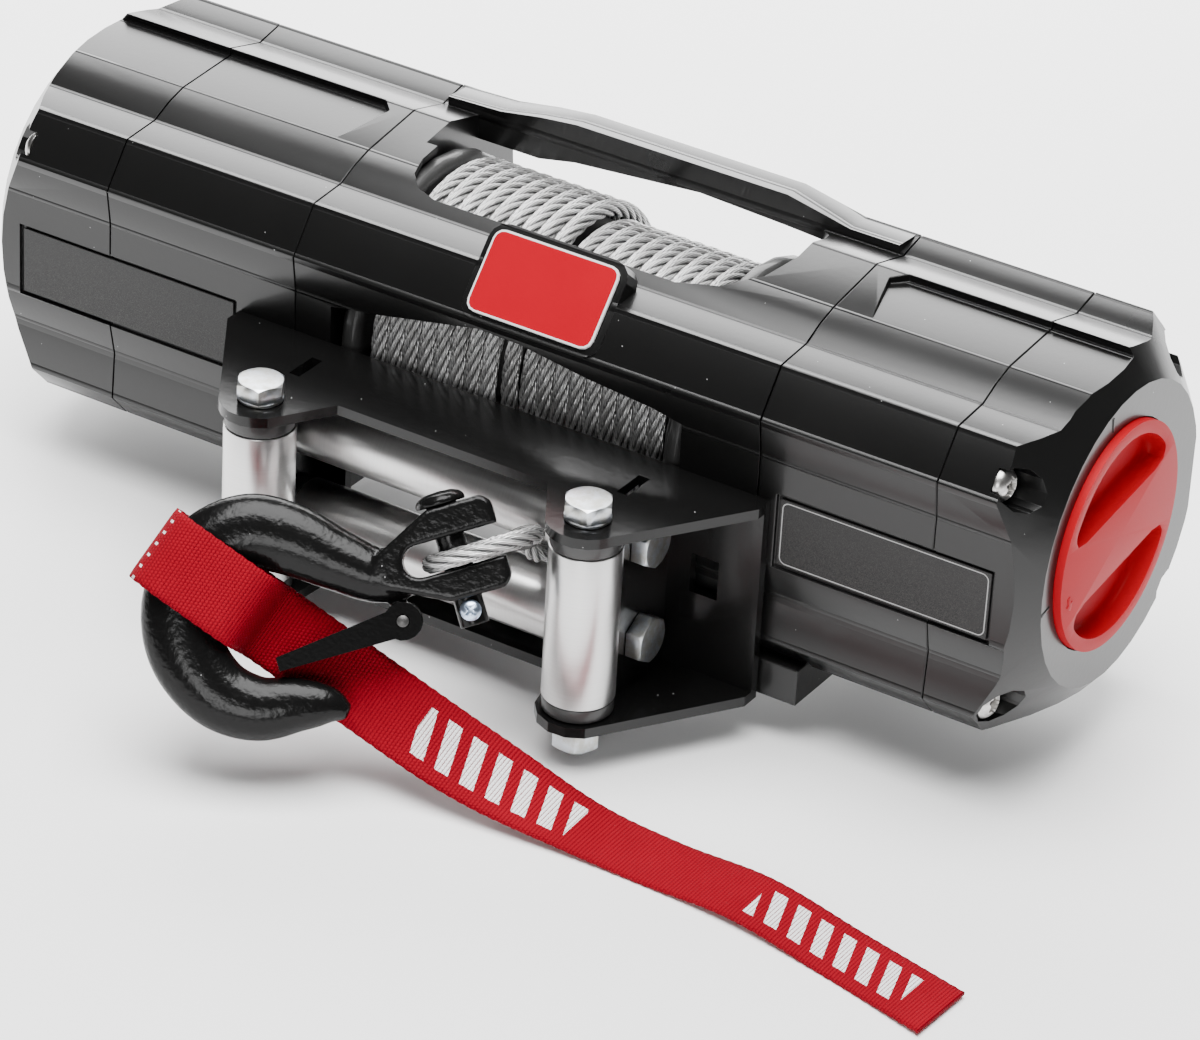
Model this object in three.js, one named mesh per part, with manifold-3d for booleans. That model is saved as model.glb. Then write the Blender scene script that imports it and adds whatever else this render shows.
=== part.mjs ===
// An electric power winch with a wire rope, a roller fairlead, a clevis hook and a pull strap.
// Millimetres, +Z up, the drum lies along X with the clutch end at +X, and the rope leaves towards -Y.
// The origin is on the plane of the mounting feet, under the drum axis, in line with the fairlead's middle.
import * as THREE from "three";
import { mergeVertices } from "three/addons/utils/BufferGeometryUtils.js";
import Module from "manifold-3d";

const wasm = await Module();
wasm.setup();

// Driving sizes of the whole winch.
const axisHeight = 73; // drum axis above the feet
const bodyHalfDepth = 59; // housing, front to axis
const bodyHalfHeight = 62; // housing, top to axis
const frameMotorSide = 86; // centre frame, from the middle to the motor housing
const frameGearSide = 104; // centre frame, from the middle to the gear housing
const motorHousingLength = 81;
const motorCapLength = 55;
const gearHousingLength = 68;
const clutchCapLength = 37.5;
const ropeDiameter = 6.4;
const rollerDiameter = 25.4;
const seam = 0.4; // gap between two castings where they meet
const fit = 0.3; // gap between a piece and its seat
const running = 0.5; // gap between a turning piece and what is round it
const overrun = 4; // how far a cutter runs past what it cuts
const smallerHalf = Math.min(bodyHalfDepth, bodyHalfHeight);
const motorParting = -frameMotorSide - motorHousingLength;
const motorEnd = motorParting - motorCapLength;
const gearParting = frameGearSide + gearHousingLength;
const clutchEnd = gearParting + clutchCapLength;

// A colour, a metalness and a roughness for each material of the winch.
function finish(color, metalness, roughness) {
  return new THREE.MeshStandardMaterial({ color, metalness, roughness });
}
const blackCasting = () => finish(0x17181a, 0.2, 0.38);
const darkIron = () => finish(0x3a3a3a, 0.6, 0.5);
const zincSteel = () => finish(0xb9bdc2, 0.9, 0.35);
const rollerSteel = () => finish(0x9a9c9d, 0.95, 0.25);
const blackPlate = () => finish(0x101010, 0.4, 0.3);
const wireRope = () => finish(0x8e8f8c, 0.8, 0.45);
const redPlastic = () => finish(0xd0202c, 0, 0.45);
const redWebbing = () => finish(0xc0141f, 0, 0.85);
const labelFilm = () => finish(0x2b2b2d, 0, 0.55);
const gearSteel = () => finish(0x8a8d90, 0.9, 0.35);
const magnetGrey = () => finish(0x505356, 0.5, 0.5);
const copper = () => finish(0xb06a3a, 0.8, 0.4);
const bronze = () => finish(0xa98a4a, 0.8, 0.4);
const moulding = () => finish(0x8a7a5a, 0, 0.6);

const winch = new THREE.Group();

// Puts a finished shape into a group as one named sub-part.
function add(name, shape, material, group = winch) {
  const mesh = new THREE.Mesh(shape instanceof THREE.BufferGeometry ? shape : asGeometry(shape), material);
  mesh.name = name;
  group.add(mesh);
  return mesh;
}

// A closed geometry as a solid that can be joined and cut.
function asSolid(geometry) {
  const bare = geometry.index ? geometry.toNonIndexed() : geometry.clone();
  bare.deleteAttribute("normal");
  bare.deleteAttribute("uv");
  const merged = mergeVertices(bare, 1e-4);
  const corners = merged.index.array;
  const kept = [];
  for (let i = 0; i < corners.length; i += 3) {
    const [a, b, c] = [corners[i], corners[i + 1], corners[i + 2]];
    if (a !== b && b !== c && c !== a) kept.push(a, b, c);
  }
  return new wasm.Manifold(
    new wasm.Mesh({
      numProp: 3,
      vertProperties: merged.attributes.position.array,
      triVerts: new Uint32Array(kept),
    }),
  );
}

// A solid back as a geometry.
function asGeometry(solid) {
  const made = solid.getMesh();
  const geometry = new THREE.BufferGeometry();
  geometry.setAttribute("position", new THREE.BufferAttribute(new Float32Array(made.vertProperties), 3));
  geometry.setIndex(new THREE.BufferAttribute(new Uint32Array(made.triVerts), 1));
  geometry.computeVertexNormals();
  return geometry;
}

const unitX = new THREE.Vector3(1, 0, 0);
const unitY = new THREE.Vector3(0, 1, 0);
const unitZ = new THREE.Vector3(0, 0, 1);

// An outline of points, with holes, as a flat shape.
function outline(points, holes = []) {
  const shape = new THREE.Shape(points.map(([a, b]) => new THREE.Vector2(a, b)));
  for (const hole of holes) shape.holes.push(new THREE.Path(hole.map(([a, b]) => new THREE.Vector2(a, b))));
  return shape;
}

// An outline drawn out by one depth along +Z.
function drawnOut(points, depth, holes = []) {
  return new THREE.ExtrudeGeometry(outline(points, holes), { depth, bevelEnabled: false });
}

// An outline in (y, z) drawn out from one x to another.
function alongX(points, from, to, holes = []) {
  const body = drawnOut(points, to - from, holes);
  body.applyMatrix4(new THREE.Matrix4().makeBasis(unitY, unitZ, unitX));
  return body.translate(from, 0, 0);
}

// An outline in (x, z) drawn out from one y to another.
function alongY(points, from, to, holes = []) {
  const body = drawnOut(points, to - from, holes);
  body.applyMatrix4(new THREE.Matrix4().makeBasis(unitX, unitZ, unitY.clone().negate()));
  return body.translate(0, to, 0);
}

// An outline in (x, y) drawn out from one z to another.
function alongZ(points, from, to, holes = []) {
  return drawnOut(points, to - from, holes).translate(0, 0, from);
}

// A profile of (x, radius) points turned round an axis that lies along X.
function turnedX(profile, steps, y = 0, z = axisHeight) {
  const points = profile.map(([x, radius]) => new THREE.Vector2(radius, x));
  const body = new THREE.LatheGeometry(points, steps);
  return body.rotateZ(-Math.PI / 2).translate(0, y, z);
}

// A profile of (z, radius) points turned round an upright axis.
function turnedZ(profile, steps, x = 0, y = 0) {
  const points = profile.map(([z, radius]) => new THREE.Vector2(radius, z));
  const body = new THREE.LatheGeometry(points, steps);
  return body.rotateX(Math.PI / 2).translate(x, y, 0);
}

// A plain rod along X, and a tube along X.
function rodX(radius, from, to, steps, y = 0, z = axisHeight) {
  return turnedX([[from, 0], [from, radius], [to, radius], [to, 0]], steps, y, z);
}
function tubeX(inner, outer, from, to, steps, y = 0, z = axisHeight) {
  return turnedX([[from, inner], [from, outer], [to, outer], [to, inner], [from, inner]], steps, y, z);
}

// A rectangle between two corners, as an outline.
function rectangle(a0, b0, a1, b1) {
  return [[a0, b0], [a1, b0], [a1, b1], [a0, b1]];
}

// The same rectangle with a round at each corner: high right, high left, low left and low right.
function roundedRectangle(a0, b0, a1, b1, radii, steps) {
  const points = [];
  const corners = [[a1, b1, -1, -1], [a0, b1, 1, -1], [a0, b0, 1, 1], [a1, b0, -1, 1]];
  corners.forEach(([cornerA, cornerB, inA, inB], turn) => {
    const radius = radii[turn];
    const [a, b] = [cornerA + inA * radius, cornerB + inB * radius];
    for (let i = 0; i <= steps; i++) {
      const angle = (Math.PI / 2) * (turn + i / steps);
      points.push([a + radius * Math.cos(angle), b + radius * Math.sin(angle)]);
    }
  });
  return points;
}

// A regular ring of points round a centre.
function ringPoints(radius, count, a = 0, b = 0) {
  const points = [];
  for (let i = 0; i < count; i++) {
    const angle = (2 * Math.PI * i) / count;
    points.push([a + radius * Math.cos(angle), b + radius * Math.sin(angle)]);
  }
  return points;
}

// The housing's outline in (y, z), front to the left, as shares of its half depth and half height.
const frontFaceShare = 0.966; // of the half depth, to the upright face that carries the labels
const housingOutlineShares = [
  [-0.78, -1], [0.78, -1], [0.97, -0.8], [1, -0.3], [1, 0.3], [0.97, 0.6], [0.86, 0.86], [0.78, 0.97],
  [0.565, 0.925], [0.255, 1], [-0.235, 0.925], [-0.385, 0.883], [-0.525, 0.82],
  [-0.8, 0.8], [-1, 0.54],
  [-frontFaceShare, 0.32], [-frontFaceShare, -0.33], [-0.915, -0.55], [-0.935, -0.84],
];
const housingOutline = housingOutlineShares.map(([y, z]) => [
  y * bodyHalfDepth,
  axisHeight + z * bodyHalfHeight,
]);
const frontFace = -frontFaceShare * bodyHalfDepth;

// The round cone that the two end caps are turned down to.
const endFaceInset = 4; // the flat end's edge, in from the housing's nearest face
const endFaceRadius = smallerHalf - endFaceInset;
const endFaceY = 6; // the cone's axis lies a little behind and below the drum's
const endFaceZ = -3;
const coneLength = 23.5;
const coneFlare = 30; // how much wider the cone is at its inner end
const coneRadius = endFaceRadius + coneFlare;
function endCone(flatEnd, inwards) {
  const wide = flatEnd + inwards * coneLength;
  const tail = wide + inwards * (Math.max(motorCapLength, clutchCapLength) + overrun);
  const profile = [[flatEnd, 0], [flatEnd, endFaceRadius], [wide, coneRadius], [tail, coneRadius], [tail, 0]];
  if (inwards < 0) profile.reverse();
  return asSolid(turnedX(profile, 36, endFaceY, axisHeight + endFaceZ));
}

// The recessed panels in the top, deepest along their back edge, open at the end cap.
const panelFrontShare = -0.235;
const panelBackShare = 0.255;
const panelFrontHeightShare = 0.925;
const panelDepth = 2.8;
const panelSlant = 8; // the inner end runs on the slant
const panelCorner = 5;
const panelInset = 8; // from the centre frame to the panel's inner end
const motorPanelEnd = -frameMotorSide - panelInset;
const gearPanelEnd = frameGearSide + panelInset;
function topPanel(open, inner) {
  const inwards = Math.sign(inner - open);
  const front = panelFrontShare * bodyHalfDepth;
  const back = panelBackShare * bodyHalfDepth;
  const top = axisHeight + bodyHalfHeight;
  const low = axisHeight + panelFrontHeightShare * bodyHalfHeight;
  const section = [[front, low], [back, top - panelDepth], [back, top + overrun], [front, top + overrun]];
  const cornerX = inner - inwards * panelCorner;
  const plan = [[open, front - overrun], [inner - inwards * panelSlant, front - overrun],
    [inner, back - panelCorner], [cornerX, back], [cornerX, back + overrun], [open, back + overrun]];
  const slanted = alongZ(plan, low - overrun, top + 2 * overrun);
  return asSolid(alongX(section, Math.min(open, inner), Math.max(open, inner))).intersect(asSolid(slanted));
}

// The shallow pockets for the two label plates.
const labelRise = 5.5; // above the axis
const labelHeight = 25.5;
const labelTop = axisHeight + labelRise;
const labelBottom = labelTop - labelHeight;
const pocketDepth = 1.5;
const motorLabelStart = 16; // in from the motor's end face
const motorLabelStop = 27; // out from the centre frame
const gearLabelStart = 9;
const gearLabelStop = 15.5;
const motorLabel = { from: motorEnd + motorLabelStart, to: -frameMotorSide - motorLabelStop };
const gearLabel = { from: frameGearSide + gearLabelStart, to: clutchEnd - gearLabelStop };
const labelMargin = 1.5;
function labelPocket(label) {
  const [low, high] = [labelBottom - labelMargin, labelTop + labelMargin];
  const section = rectangle(frontFace - overrun, low, frontFace + pocketDepth, high);
  return asSolid(alongX(section, label.from - labelMargin, label.to + labelMargin));
}

// The four screws that hold an end cap, as shares of the housing's half sizes.
const capScrewShares = [[-0.85, 0.58], [-0.79, -0.8], [0.84, 0.72], [0.82, -0.72]];
const capScrewPlaces = capScrewShares.map(([y, z]) => [y * bodyHalfDepth, axisHeight + z * bodyHalfHeight]);
const screwPocketRadius = 7.5;
const screwHeadRadius = 5.2;
const screwHeadHeight = 3.4;
const screwShankRadius = 2.6;
const screwCrownShare = 0.6; // the head's flat top, of its radius
const screwEdgeShare = 0.6; // the head's upright edge, of its height
const screwSeatShare = 0.8; // of the cone's length, from the flat end in to the screw seats
const screwGrip = 12; // how far the shank runs into the next casting
const smallSteps = 8;
const pocketSteps = 10;

// Where the screw heads rest in a cap whose flat end looks along "outwards": -1 or 1.
function screwSeatOf(flatEnd, outwards) {
  return flatEnd - outwards * coneLength * screwSeatShare;
}

// Cuts the screw pockets and shank holes into an end cap.
function withScrewPockets(cap, flatEnd, parting, outwards) {
  const seat = screwSeatOf(flatEnd, outwards);
  for (const [y, z] of capScrewPlaces) {
    const outside = flatEnd + outwards * overrun;
    const [a, b] = [Math.min(seat, outside), Math.max(seat, outside)];
    const [c, d] = [Math.min(seat, parting) - overrun, Math.max(seat, parting) + overrun];
    cap = cap.subtract(asSolid(rodX(screwPocketRadius, a, b, pocketSteps, y, z)));
    cap = cap.subtract(asSolid(rodX(screwShankRadius + fit, c, d, smallSteps, y, z)));
  }
  return cap;
}

// Cuts the blind holes that the cap screws enter.
function withScrewHoles(housing, parting, inwards) {
  const depth = parting + inwards * (screwGrip + overrun);
  for (const [y, z] of capScrewPlaces) {
    const from = Math.min(depth, parting - inwards * overrun);
    const to = Math.max(depth, parting - inwards * overrun);
    housing = housing.subtract(asSolid(rodX(screwShankRadius + fit, from, to, smallSteps, y, z)));
  }
  return housing;
}

// One pan-head screw along X with its head at "seat".
function capScrew(seat, parting, outwards, y, z) {
  const head = seat + outwards * (fit + screwHeadHeight);
  const under = seat + outwards * fit;
  const tip = parting - outwards * screwGrip;
  const edge = under + outwards * screwHeadHeight * screwEdgeShare;
  const profile = [[tip, 0], [tip, screwShankRadius], [under, screwShankRadius], [under, screwHeadRadius],
    [edge, screwHeadRadius], [head, screwHeadRadius * screwCrownShare], [head, 0]];
  if (outwards < 0) profile.reverse();
  return turnedX(profile, smallSteps, y, z);
}

// Motor end cap: a hollow casting over the brushes, turned to a cone at its outer end.
const motorWall = 9; // least wall round the motor
const motorBore = smallerHalf - motorWall;
const brushCavityStep = 3.7;
const brushCavityRadius = motorBore - brushCavityStep;
const capWall = 9;
const shaftRadius = 5;
const bearingRadius = 11;
const bearingWidth = 7;
function motorEndCap() {
  const inner = motorEnd + capWall;
  const block = asSolid(alongX(housingOutline, motorEnd, motorParting - seam / 2));
  let cap = block.intersect(endCone(motorEnd, 1));
  cap = cap.subtract(asSolid(rodX(brushCavityRadius, inner + bearingWidth, motorParting + overrun, 32)));
  cap = cap.subtract(asSolid(rodX(bearingRadius + running, inner, inner + bearingWidth + overrun, 20)));
  cap = cap.subtract(topPanel(motorEnd - overrun, motorPanelEnd));
  cap = cap.subtract(labelPocket(motorLabel));
  return withScrewPockets(cap, motorEnd, motorParting, -1);
}
add("motor_end_cap", motorEndCap(), blackCasting());

// Motor housing: a faceted tube round the motor can, with a foot under its drum end.
const footLength = 20;
const footRoot = 3; // how far the foot runs up into the housing
const footTop = axisHeight - bodyHalfHeight + footRoot;
const footFrontShare = 0.949; // of the half depth
const footBackShare = 0.9;
function foot(from, to) {
  const plan = rectangle(-footFrontShare * bodyHalfDepth, 0, footBackShare * bodyHalfDepth, footTop);
  return asSolid(alongX(plan, from, to));
}
function motorHousing() {
  const drumEnd = -frameMotorSide - seam / 2;
  let tube = asSolid(alongX(housingOutline, motorParting + seam / 2, drumEnd));
  tube = tube.add(foot(drumEnd - footLength, drumEnd));
  tube = tube.subtract(asSolid(rodX(motorBore, motorParting - overrun, drumEnd + overrun, 32)));
  tube = tube.subtract(topPanel(motorParting - overrun, motorPanelEnd));
  tube = tube.subtract(labelPocket(motorLabel));
  return withScrewHoles(tube, motorParting, 1);
}
add("motor_housing", motorHousing(), blackCasting());

// Centre frame: two end walls joined by the bridge bar, the front bar and a low rail behind.
const drumWallMotor = 71; // inner faces of the end walls
const drumWallGear = 73;
const drumShell = 2.5; // least metal left outside the drum's bore
const drumBore = smallerHalf - drumShell;
const journalRadius = 20;
const bushWall = 2.4;
const gearShell = 13; // least wall round the gears
const gearBore = smallerHalf - gearShell;
const gearWall = 11; // end wall between the drum and the gears
const barFrontShare = 0.568; // of the half depth
const barBackShare = 0.86;
const railFrontShare = 0.6;
const railTopShare = -0.62; // of the half height
const backSillShare = 1.1;
const barInner = barFrontShare * bodyHalfDepth;
const housingTop = axisHeight + bodyHalfHeight;

// The bridge bar: a run of sections that follow the housing's back edge and arch above it.
const barEndInset = 1.7; // its ends, in from the frame's
const barRidgeShare = 0.78; // of the half depth, where its top turns down
const barFrontTopShare = 0.982; // heights of its top over the axis, of the half height
const barRidgeTopShare = 0.97;
const barBackTopShare = 0.86;
const barStations = [
  // x, height over the housing and depth of the underside below the housing's top
  [-frameMotorSide + barEndInset, -0.2, 14], [-62, 0.6, 14], [-45, 3.4, 14], [-30, 5, 11],
  [22, 5, 6.5], [57, 5, 8], [73, 1.8, 9], [82.5, -0.2, 9], [frameGearSide - barEndInset, -0.2, 9],
];
function bridgeBar() {
  const ridge = barRidgeShare * bodyHalfDepth;
  const back = barBackShare * bodyHalfDepth;
  const positions = [];
  for (const [x, rise, under] of barStations) {
    const low = housingTop - under;
    const over = (share) => axisHeight + share * bodyHalfHeight + rise;
    positions.push(x, barInner, low, x, barInner, over(barFrontTopShare), x, ridge, over(barRidgeTopShare));
    positions.push(x, back, over(barBackTopShare), x, back, low);
  }
  return asSolid(closedMesh(positions, ringCorners(barStations.length, 5)));
}

// The upper window, from the front bar to the bridge bar.
const windowFrontShare = -0.4288; // of the half depth
const windowFloorShare = 0.58; // of the half height
const windowMotorInset = 4.6; // its motor end stops short of the drum space
const windowGearReach = 5.5; // its gear end runs past it
const windowCorners = [10, 10, 16, 30]; // rounds: two at the back, then motor end front and gear end front
function upperWindow() {
  const front = windowFrontShare * bodyHalfDepth;
  const motorSide = -drumWallMotor + windowMotorInset;
  const gearSide = drumWallGear + windowGearReach;
  const plan = roundedRectangle(motorSide, front, gearSide, barInner, windowCorners, 3);
  const floor = axisHeight + windowFloorShare * bodyHalfHeight;
  return asSolid(alongZ(plan, floor, housingTop + overrun));
}

// The front is open under the arched front bar: x, and height above the axis.
const frontArch = [
  [-drumWallMotor, 18], [-62, 19.5], [-53, 21], [-9, 30.5],
  [8, 30], [35, 25.7], [61.5, 23], [drumWallGear, 20.5],
];
function frontOpening() {
  const arch = frontArch.map(([x, rise]) => [x, axisHeight + rise]).reverse();
  const face = [[-drumWallMotor, -overrun], [drumWallGear, -overrun], ...arch];
  return asSolid(alongY(face, -bodyHalfDepth - overrun, 0));
}

function centreFrame() {
  const from = -frameMotorSide + seam / 2;
  const to = frameGearSide - seam / 2;
  const backSill = axisHeight + backSillShare * bodyHalfHeight;
  const railTop = axisHeight + railTopShare * bodyHalfHeight;
  const behind = rectangle(0, railTop, bodyHalfDepth + overrun, backSill);
  const below = rectangle(-bodyHalfDepth, -overrun, railFrontShare * bodyHalfDepth, axisHeight);
  const bushHole = journalRadius + fit + bushWall + fit;
  const endWall = drumWallGear + gearWall;
  return asSolid(alongX(housingOutline, from, to))
    .subtract(upperWindow())
    .subtract(asSolid(alongX(behind, -drumWallMotor, drumWallGear)))
    .subtract(frontOpening())
    .subtract(asSolid(alongX(below, -drumWallMotor, drumWallGear)))
    .subtract(asSolid(rodX(bushHole, from - overrun, endWall + overrun, 24)))
    .subtract(asSolid(rodX(gearBore, endWall, to + overrun, 32)))
    .add(bridgeBar())
    .add(badgeBlock(-bezelDepth, 0))
    .subtract(badgeBlock(0, bezelDepth))
    .subtract(asSolid(rodX(drumBore, -drumWallMotor, drumWallGear, 48)));
}

// The raised block on the front bar that carries the badge, and the badge's own plane.
const badgeTopDepthShare = -0.6525; // of the half depth
const badgeTopHeightShare = 0.958; // of the half height
const badgeTilt = Math.atan2(24, 20); // down and forwards from its top edge
const badgeFrom = -15;
const badgeTo = 36;
const badgeHeight = 30.5;
const badgeCorner = 4;
const bezelRim = 2.6;
const bezelDepth = 9;
const badgeThickness = 1.2;
function inBadgePlane(body) {
  const down = new THREE.Vector3(0, -Math.cos(badgeTilt), -Math.sin(badgeTilt));
  const normal = new THREE.Vector3(0, -Math.sin(badgeTilt), Math.cos(badgeTilt));
  body.applyMatrix4(new THREE.Matrix4().makeBasis(unitX.clone().negate(), down, normal));
  const topZ = axisHeight + badgeTopHeightShare * bodyHalfHeight;
  return body.translate(0, badgeTopDepthShare * bodyHalfDepth, topZ);
}
function badgePoints(rim) {
  const radii = [1, 1, 1, 1].map(() => badgeCorner + rim);
  return roundedRectangle(-badgeTo - rim, -rim, -badgeFrom + rim, badgeHeight + rim, radii, 3);
}
function badgeBlock(from, to) {
  return asSolid(inBadgePlane(alongZ(badgePoints(bezelRim), from, to)));
}
add("centre_frame", centreFrame(), blackCasting());

function badgePlate() {
  return inBadgePlane(alongZ(badgePoints(0), fit, fit + badgeThickness));
}
add("badge_plate", badgePlate(), redPlastic());

// Gear housing: the same faceted tube round the gears, with the other foot.
function gearHousing() {
  const from = frameGearSide + seam / 2;
  const to = gearParting - seam / 2;
  let tube = asSolid(alongX(housingOutline, from, to)).add(foot(from, from + footLength));
  tube = tube.subtract(asSolid(rodX(gearBore, from - overrun, to + overrun, 32)));
  tube = tube.subtract(topPanel(gearParting + overrun, gearPanelEnd));
  tube = tube.subtract(labelPocket(gearLabel));
  return withScrewHoles(tube, gearParting, -1);
}
add("gear_housing", gearHousing(), blackCasting());

// Clutch end cap: closes the gears and holds the clutch knob in a round recess.
const knobInset = 14; // from the flat end's edge to the knob's
const knobRadius = endFaceRadius - knobInset;
const knobProud = 2.8;
const knobThickness = 12;
const stemRadius = 10;
const capWebInner = 17; // depth of the hollow behind the cap's web
function clutchEndCap() {
  const from = gearParting + seam / 2;
  const recess = clutchEnd - knobThickness + knobProud - fit;
  let cap = asSolid(alongX(housingOutline, from, clutchEnd)).intersect(endCone(clutchEnd, -1));
  cap = cap.subtract(asSolid(rodX(gearBore - fit, from - overrun, from + capWebInner, 32)));
  cap = cap.subtract(asSolid(rodX(knobRadius + running, recess, clutchEnd + overrun, 48)));
  cap = cap.subtract(asSolid(rodX(stemRadius + running, from, recess + overrun, 20)));
  cap = cap.subtract(topPanel(clutchEnd + overrun, gearPanelEnd));
  cap = cap.subtract(labelPocket(gearLabel));
  return withScrewPockets(cap, clutchEnd, gearParting, 1);
}
add("clutch_end_cap", clutchEndCap(), blackCasting());

// The eight cap screws.
capScrewPlaces.forEach(([y, z], i) => {
  const motorSeat = screwSeatOf(motorEnd, -1);
  add("motor_cap_screw_" + (i + 1), capScrew(motorSeat, motorParting, -1, y, z), zincSteel());
});
capScrewPlaces.forEach(([y, z], i) => {
  const clutchSeat = screwSeatOf(clutchEnd, 1);
  add("clutch_cap_screw_" + (i + 1), capScrew(clutchSeat, gearParting, 1, y, z), zincSteel());
});

// The two label plates, each bridging the seam between a cap and its housing.
const labelThickness = 0.8;
function labelPlate(label) {
  const back = frontFace + pocketDepth - fit;
  return alongX(rectangle(back - labelThickness, labelBottom, back, labelTop), label.from, label.to);
}
add("motor_side_label", labelPlate(motorLabel), labelFilm());
add("gear_side_label", labelPlate(gearLabel), labelFilm());

// Clutch knob: a flush disc with two finger recesses and a stem that runs in the cap.
const fingerOuterShare = 0.89; // the recesses are segments of a circle beside a straight bar
const fingerInnerShare = 0.305;
const fingerSpan = 1.02; // radians to each side
const fingerShoulderShare = 0.88; // where the recess's round side ends, of its radius
const fingerCornerShares = [1.08, 0.98, -0.98, -1.08]; // of the span, round to the straight side
const fingerDepth = 7.5;
const knobTurn = 0.13; // the bar lies a little on the slant
const stemLength = 15;
const plungerRadius = 5;
function clutchKnob() {
  const face = clutchEnd + knobProud;
  const back = face - knobThickness;
  const inner = back - stemLength;
  const rim = 1.5;
  let knob = asSolid(
    turnedX(
      [[inner, 0], [inner, stemRadius], [back, stemRadius], [back, knobRadius], [face - rim, knobRadius],
        [face, knobRadius - rim], [face, 0]],
      40,
    ),
  );
  const fingerOuter = fingerOuterShare * knobRadius;
  const fingerInner = fingerInnerShare * knobRadius;
  for (const side of [-1, 1]) {
    const middle = knobTurn + (side * Math.PI) / 2;
    const points = [];
    const place = (radius, angle) =>
      points.push([radius * Math.cos(angle), axisHeight + radius * Math.sin(angle)]);
    const steps = 8;
    for (let i = 0; i <= steps; i++) place(fingerOuter, middle + fingerSpan * ((2 * i) / steps - 1));
    for (const share of fingerCornerShares) {
      const angle = fingerSpan * share;
      const straight = fingerInner / Math.cos(angle);
      const radius = Math.abs(share) > 1 ? fingerOuter * fingerShoulderShare : straight;
      place(radius, middle + angle);
    }
    knob = knob.subtract(asSolid(alongX(points, face - fingerDepth, face + overrun)));
  }
  return knob.subtract(asSolid(rodX(plungerRadius + running, inner - overrun, inner + stemLength, 16)));
}
add("clutch_knob", clutchKnob(), redPlastic());

// Clutch plunger: a headed pin that slides in the knob's stem.
const plungerHeadRadius = 12;
const plungerHeadWidth = 4;
function clutchPlunger() {
  const stemEnd = clutchEnd + knobProud - knobThickness - stemLength;
  const head = stemEnd - fit - plungerHeadWidth;
  const tip = stemEnd + stemLength - running - fit;
  return turnedX(
    [[head, 0], [head, plungerHeadRadius], [head + plungerHeadWidth, plungerHeadRadius],
      [head + plungerHeadWidth, plungerRadius], [tip, plungerRadius], [tip, 0]],
    16,
  );
}
add("clutch_plunger", clutchPlunger(), gearSteel());

// Motor: can, two field magnets, armature, brush holder, two brushes and the end bearing.
const canWall = 3.5;
const canInset = 5; // in from each end of the motor housing
const canFrom = motorParting + canInset;
const canTo = -frameMotorSide - canInset;
add("motor_can", tubeX(motorBore - fit - canWall, motorBore - fit, canFrom, canTo, 32), darkIron());

const magnetThickness = 5;
const magnetSpan = 2.3; // radians
const magnetInset = 12;
const airGap = 0.8;
const magnetOuter = motorBore - fit - canWall - fit;
function magnetAt(middle) {
  const steps = 16;
  const points = [];
  for (let i = 0; i <= steps; i++) {
    const angle = middle + magnetSpan * (i / steps - 0.5);
    points.push([magnetOuter * Math.cos(angle), axisHeight + magnetOuter * Math.sin(angle)]);
  }
  for (let i = steps; i >= 0; i--) {
    const angle = middle + magnetSpan * (i / steps - 0.5);
    const radius = magnetOuter - magnetThickness;
    points.push([radius * Math.cos(angle), axisHeight + radius * Math.sin(angle)]);
  }
  return alongX(points, canFrom + magnetInset, canTo - magnetInset);
}
add("motor_magnet_front", magnetAt(Math.PI), magnetGrey());
add("motor_magnet_back", magnetAt(0), magnetGrey());

const coreRadius = magnetOuter - magnetThickness - airGap;
const commutatorRadius = 16;
const commutatorLength = 18;
const couplingOverlap = 8;
const sleeveGap = 2; // from the armature shaft's end to the sleeve's web
const neckRadius = 10;
const shaftEnd = -frameMotorSide - couplingOverlap + sleeveGap;
function armature() {
  const start = motorEnd + capWall + fit;
  const coreFrom = canFrom + magnetInset;
  const coreTo = canTo - magnetInset;
  const commutatorTo = motorParting;
  const commutatorFrom = commutatorTo - commutatorLength;
  return turnedX(
    [[start, 0], [start, shaftRadius], [commutatorFrom, shaftRadius], [commutatorFrom, commutatorRadius],
      [commutatorTo, commutatorRadius], [commutatorTo, neckRadius], [coreFrom, neckRadius],
      [coreFrom, coreRadius], [coreTo, coreRadius], [coreTo, shaftRadius],
      [shaftEnd, shaftRadius], [shaftEnd, 0]],
    20,
  );
}
add("armature", armature(), copper());

const holderThickness = 5;
const holderInset = 10.5; // from the parting to the brush side of the holder
const brushSize = 8;
const brushLength = 18;
const holderFrom = motorParting - holderInset;
const holderBore = commutatorRadius + running + airGap;
add(
  "brush_holder",
  tubeX(holderBore, brushCavityRadius - fit, holderFrom - holderThickness, holderFrom, 20),
  moulding(),
);
function brushAt(side) {
  const near = axisHeight + side * (commutatorRadius + fit);
  const far = near + side * brushLength;
  return alongX(
    rectangle(-brushSize / 2, Math.min(near, far), brushSize / 2, Math.max(near, far)),
    holderFrom + fit,
    holderFrom + fit + brushSize,
  );
}
add("brush_upper", brushAt(1), magnetGrey());
add("brush_lower", brushAt(-1), magnetGrey());
add(
  "motor_bearing",
  tubeX(shaftRadius + fit, bearingRadius, motorEnd + capWall + fit, motorEnd + capWall + bearingWidth, 20),
  gearSteel(),
);

// Drum spool: a hollow barrel between two rounded flanges, on a journal at each end.
const barrelShare = 0.452; // of the flange's radius
const flangeGap = 1.2; // from the flange's edge to the bore round it
const flangeRadius = drumBore - flangeGap;
const barrelRadius = barrelShare * flangeRadius;
const flangeWidth = 9;
const spoolBore = 9;
const spoolEndPlay = 1;
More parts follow.
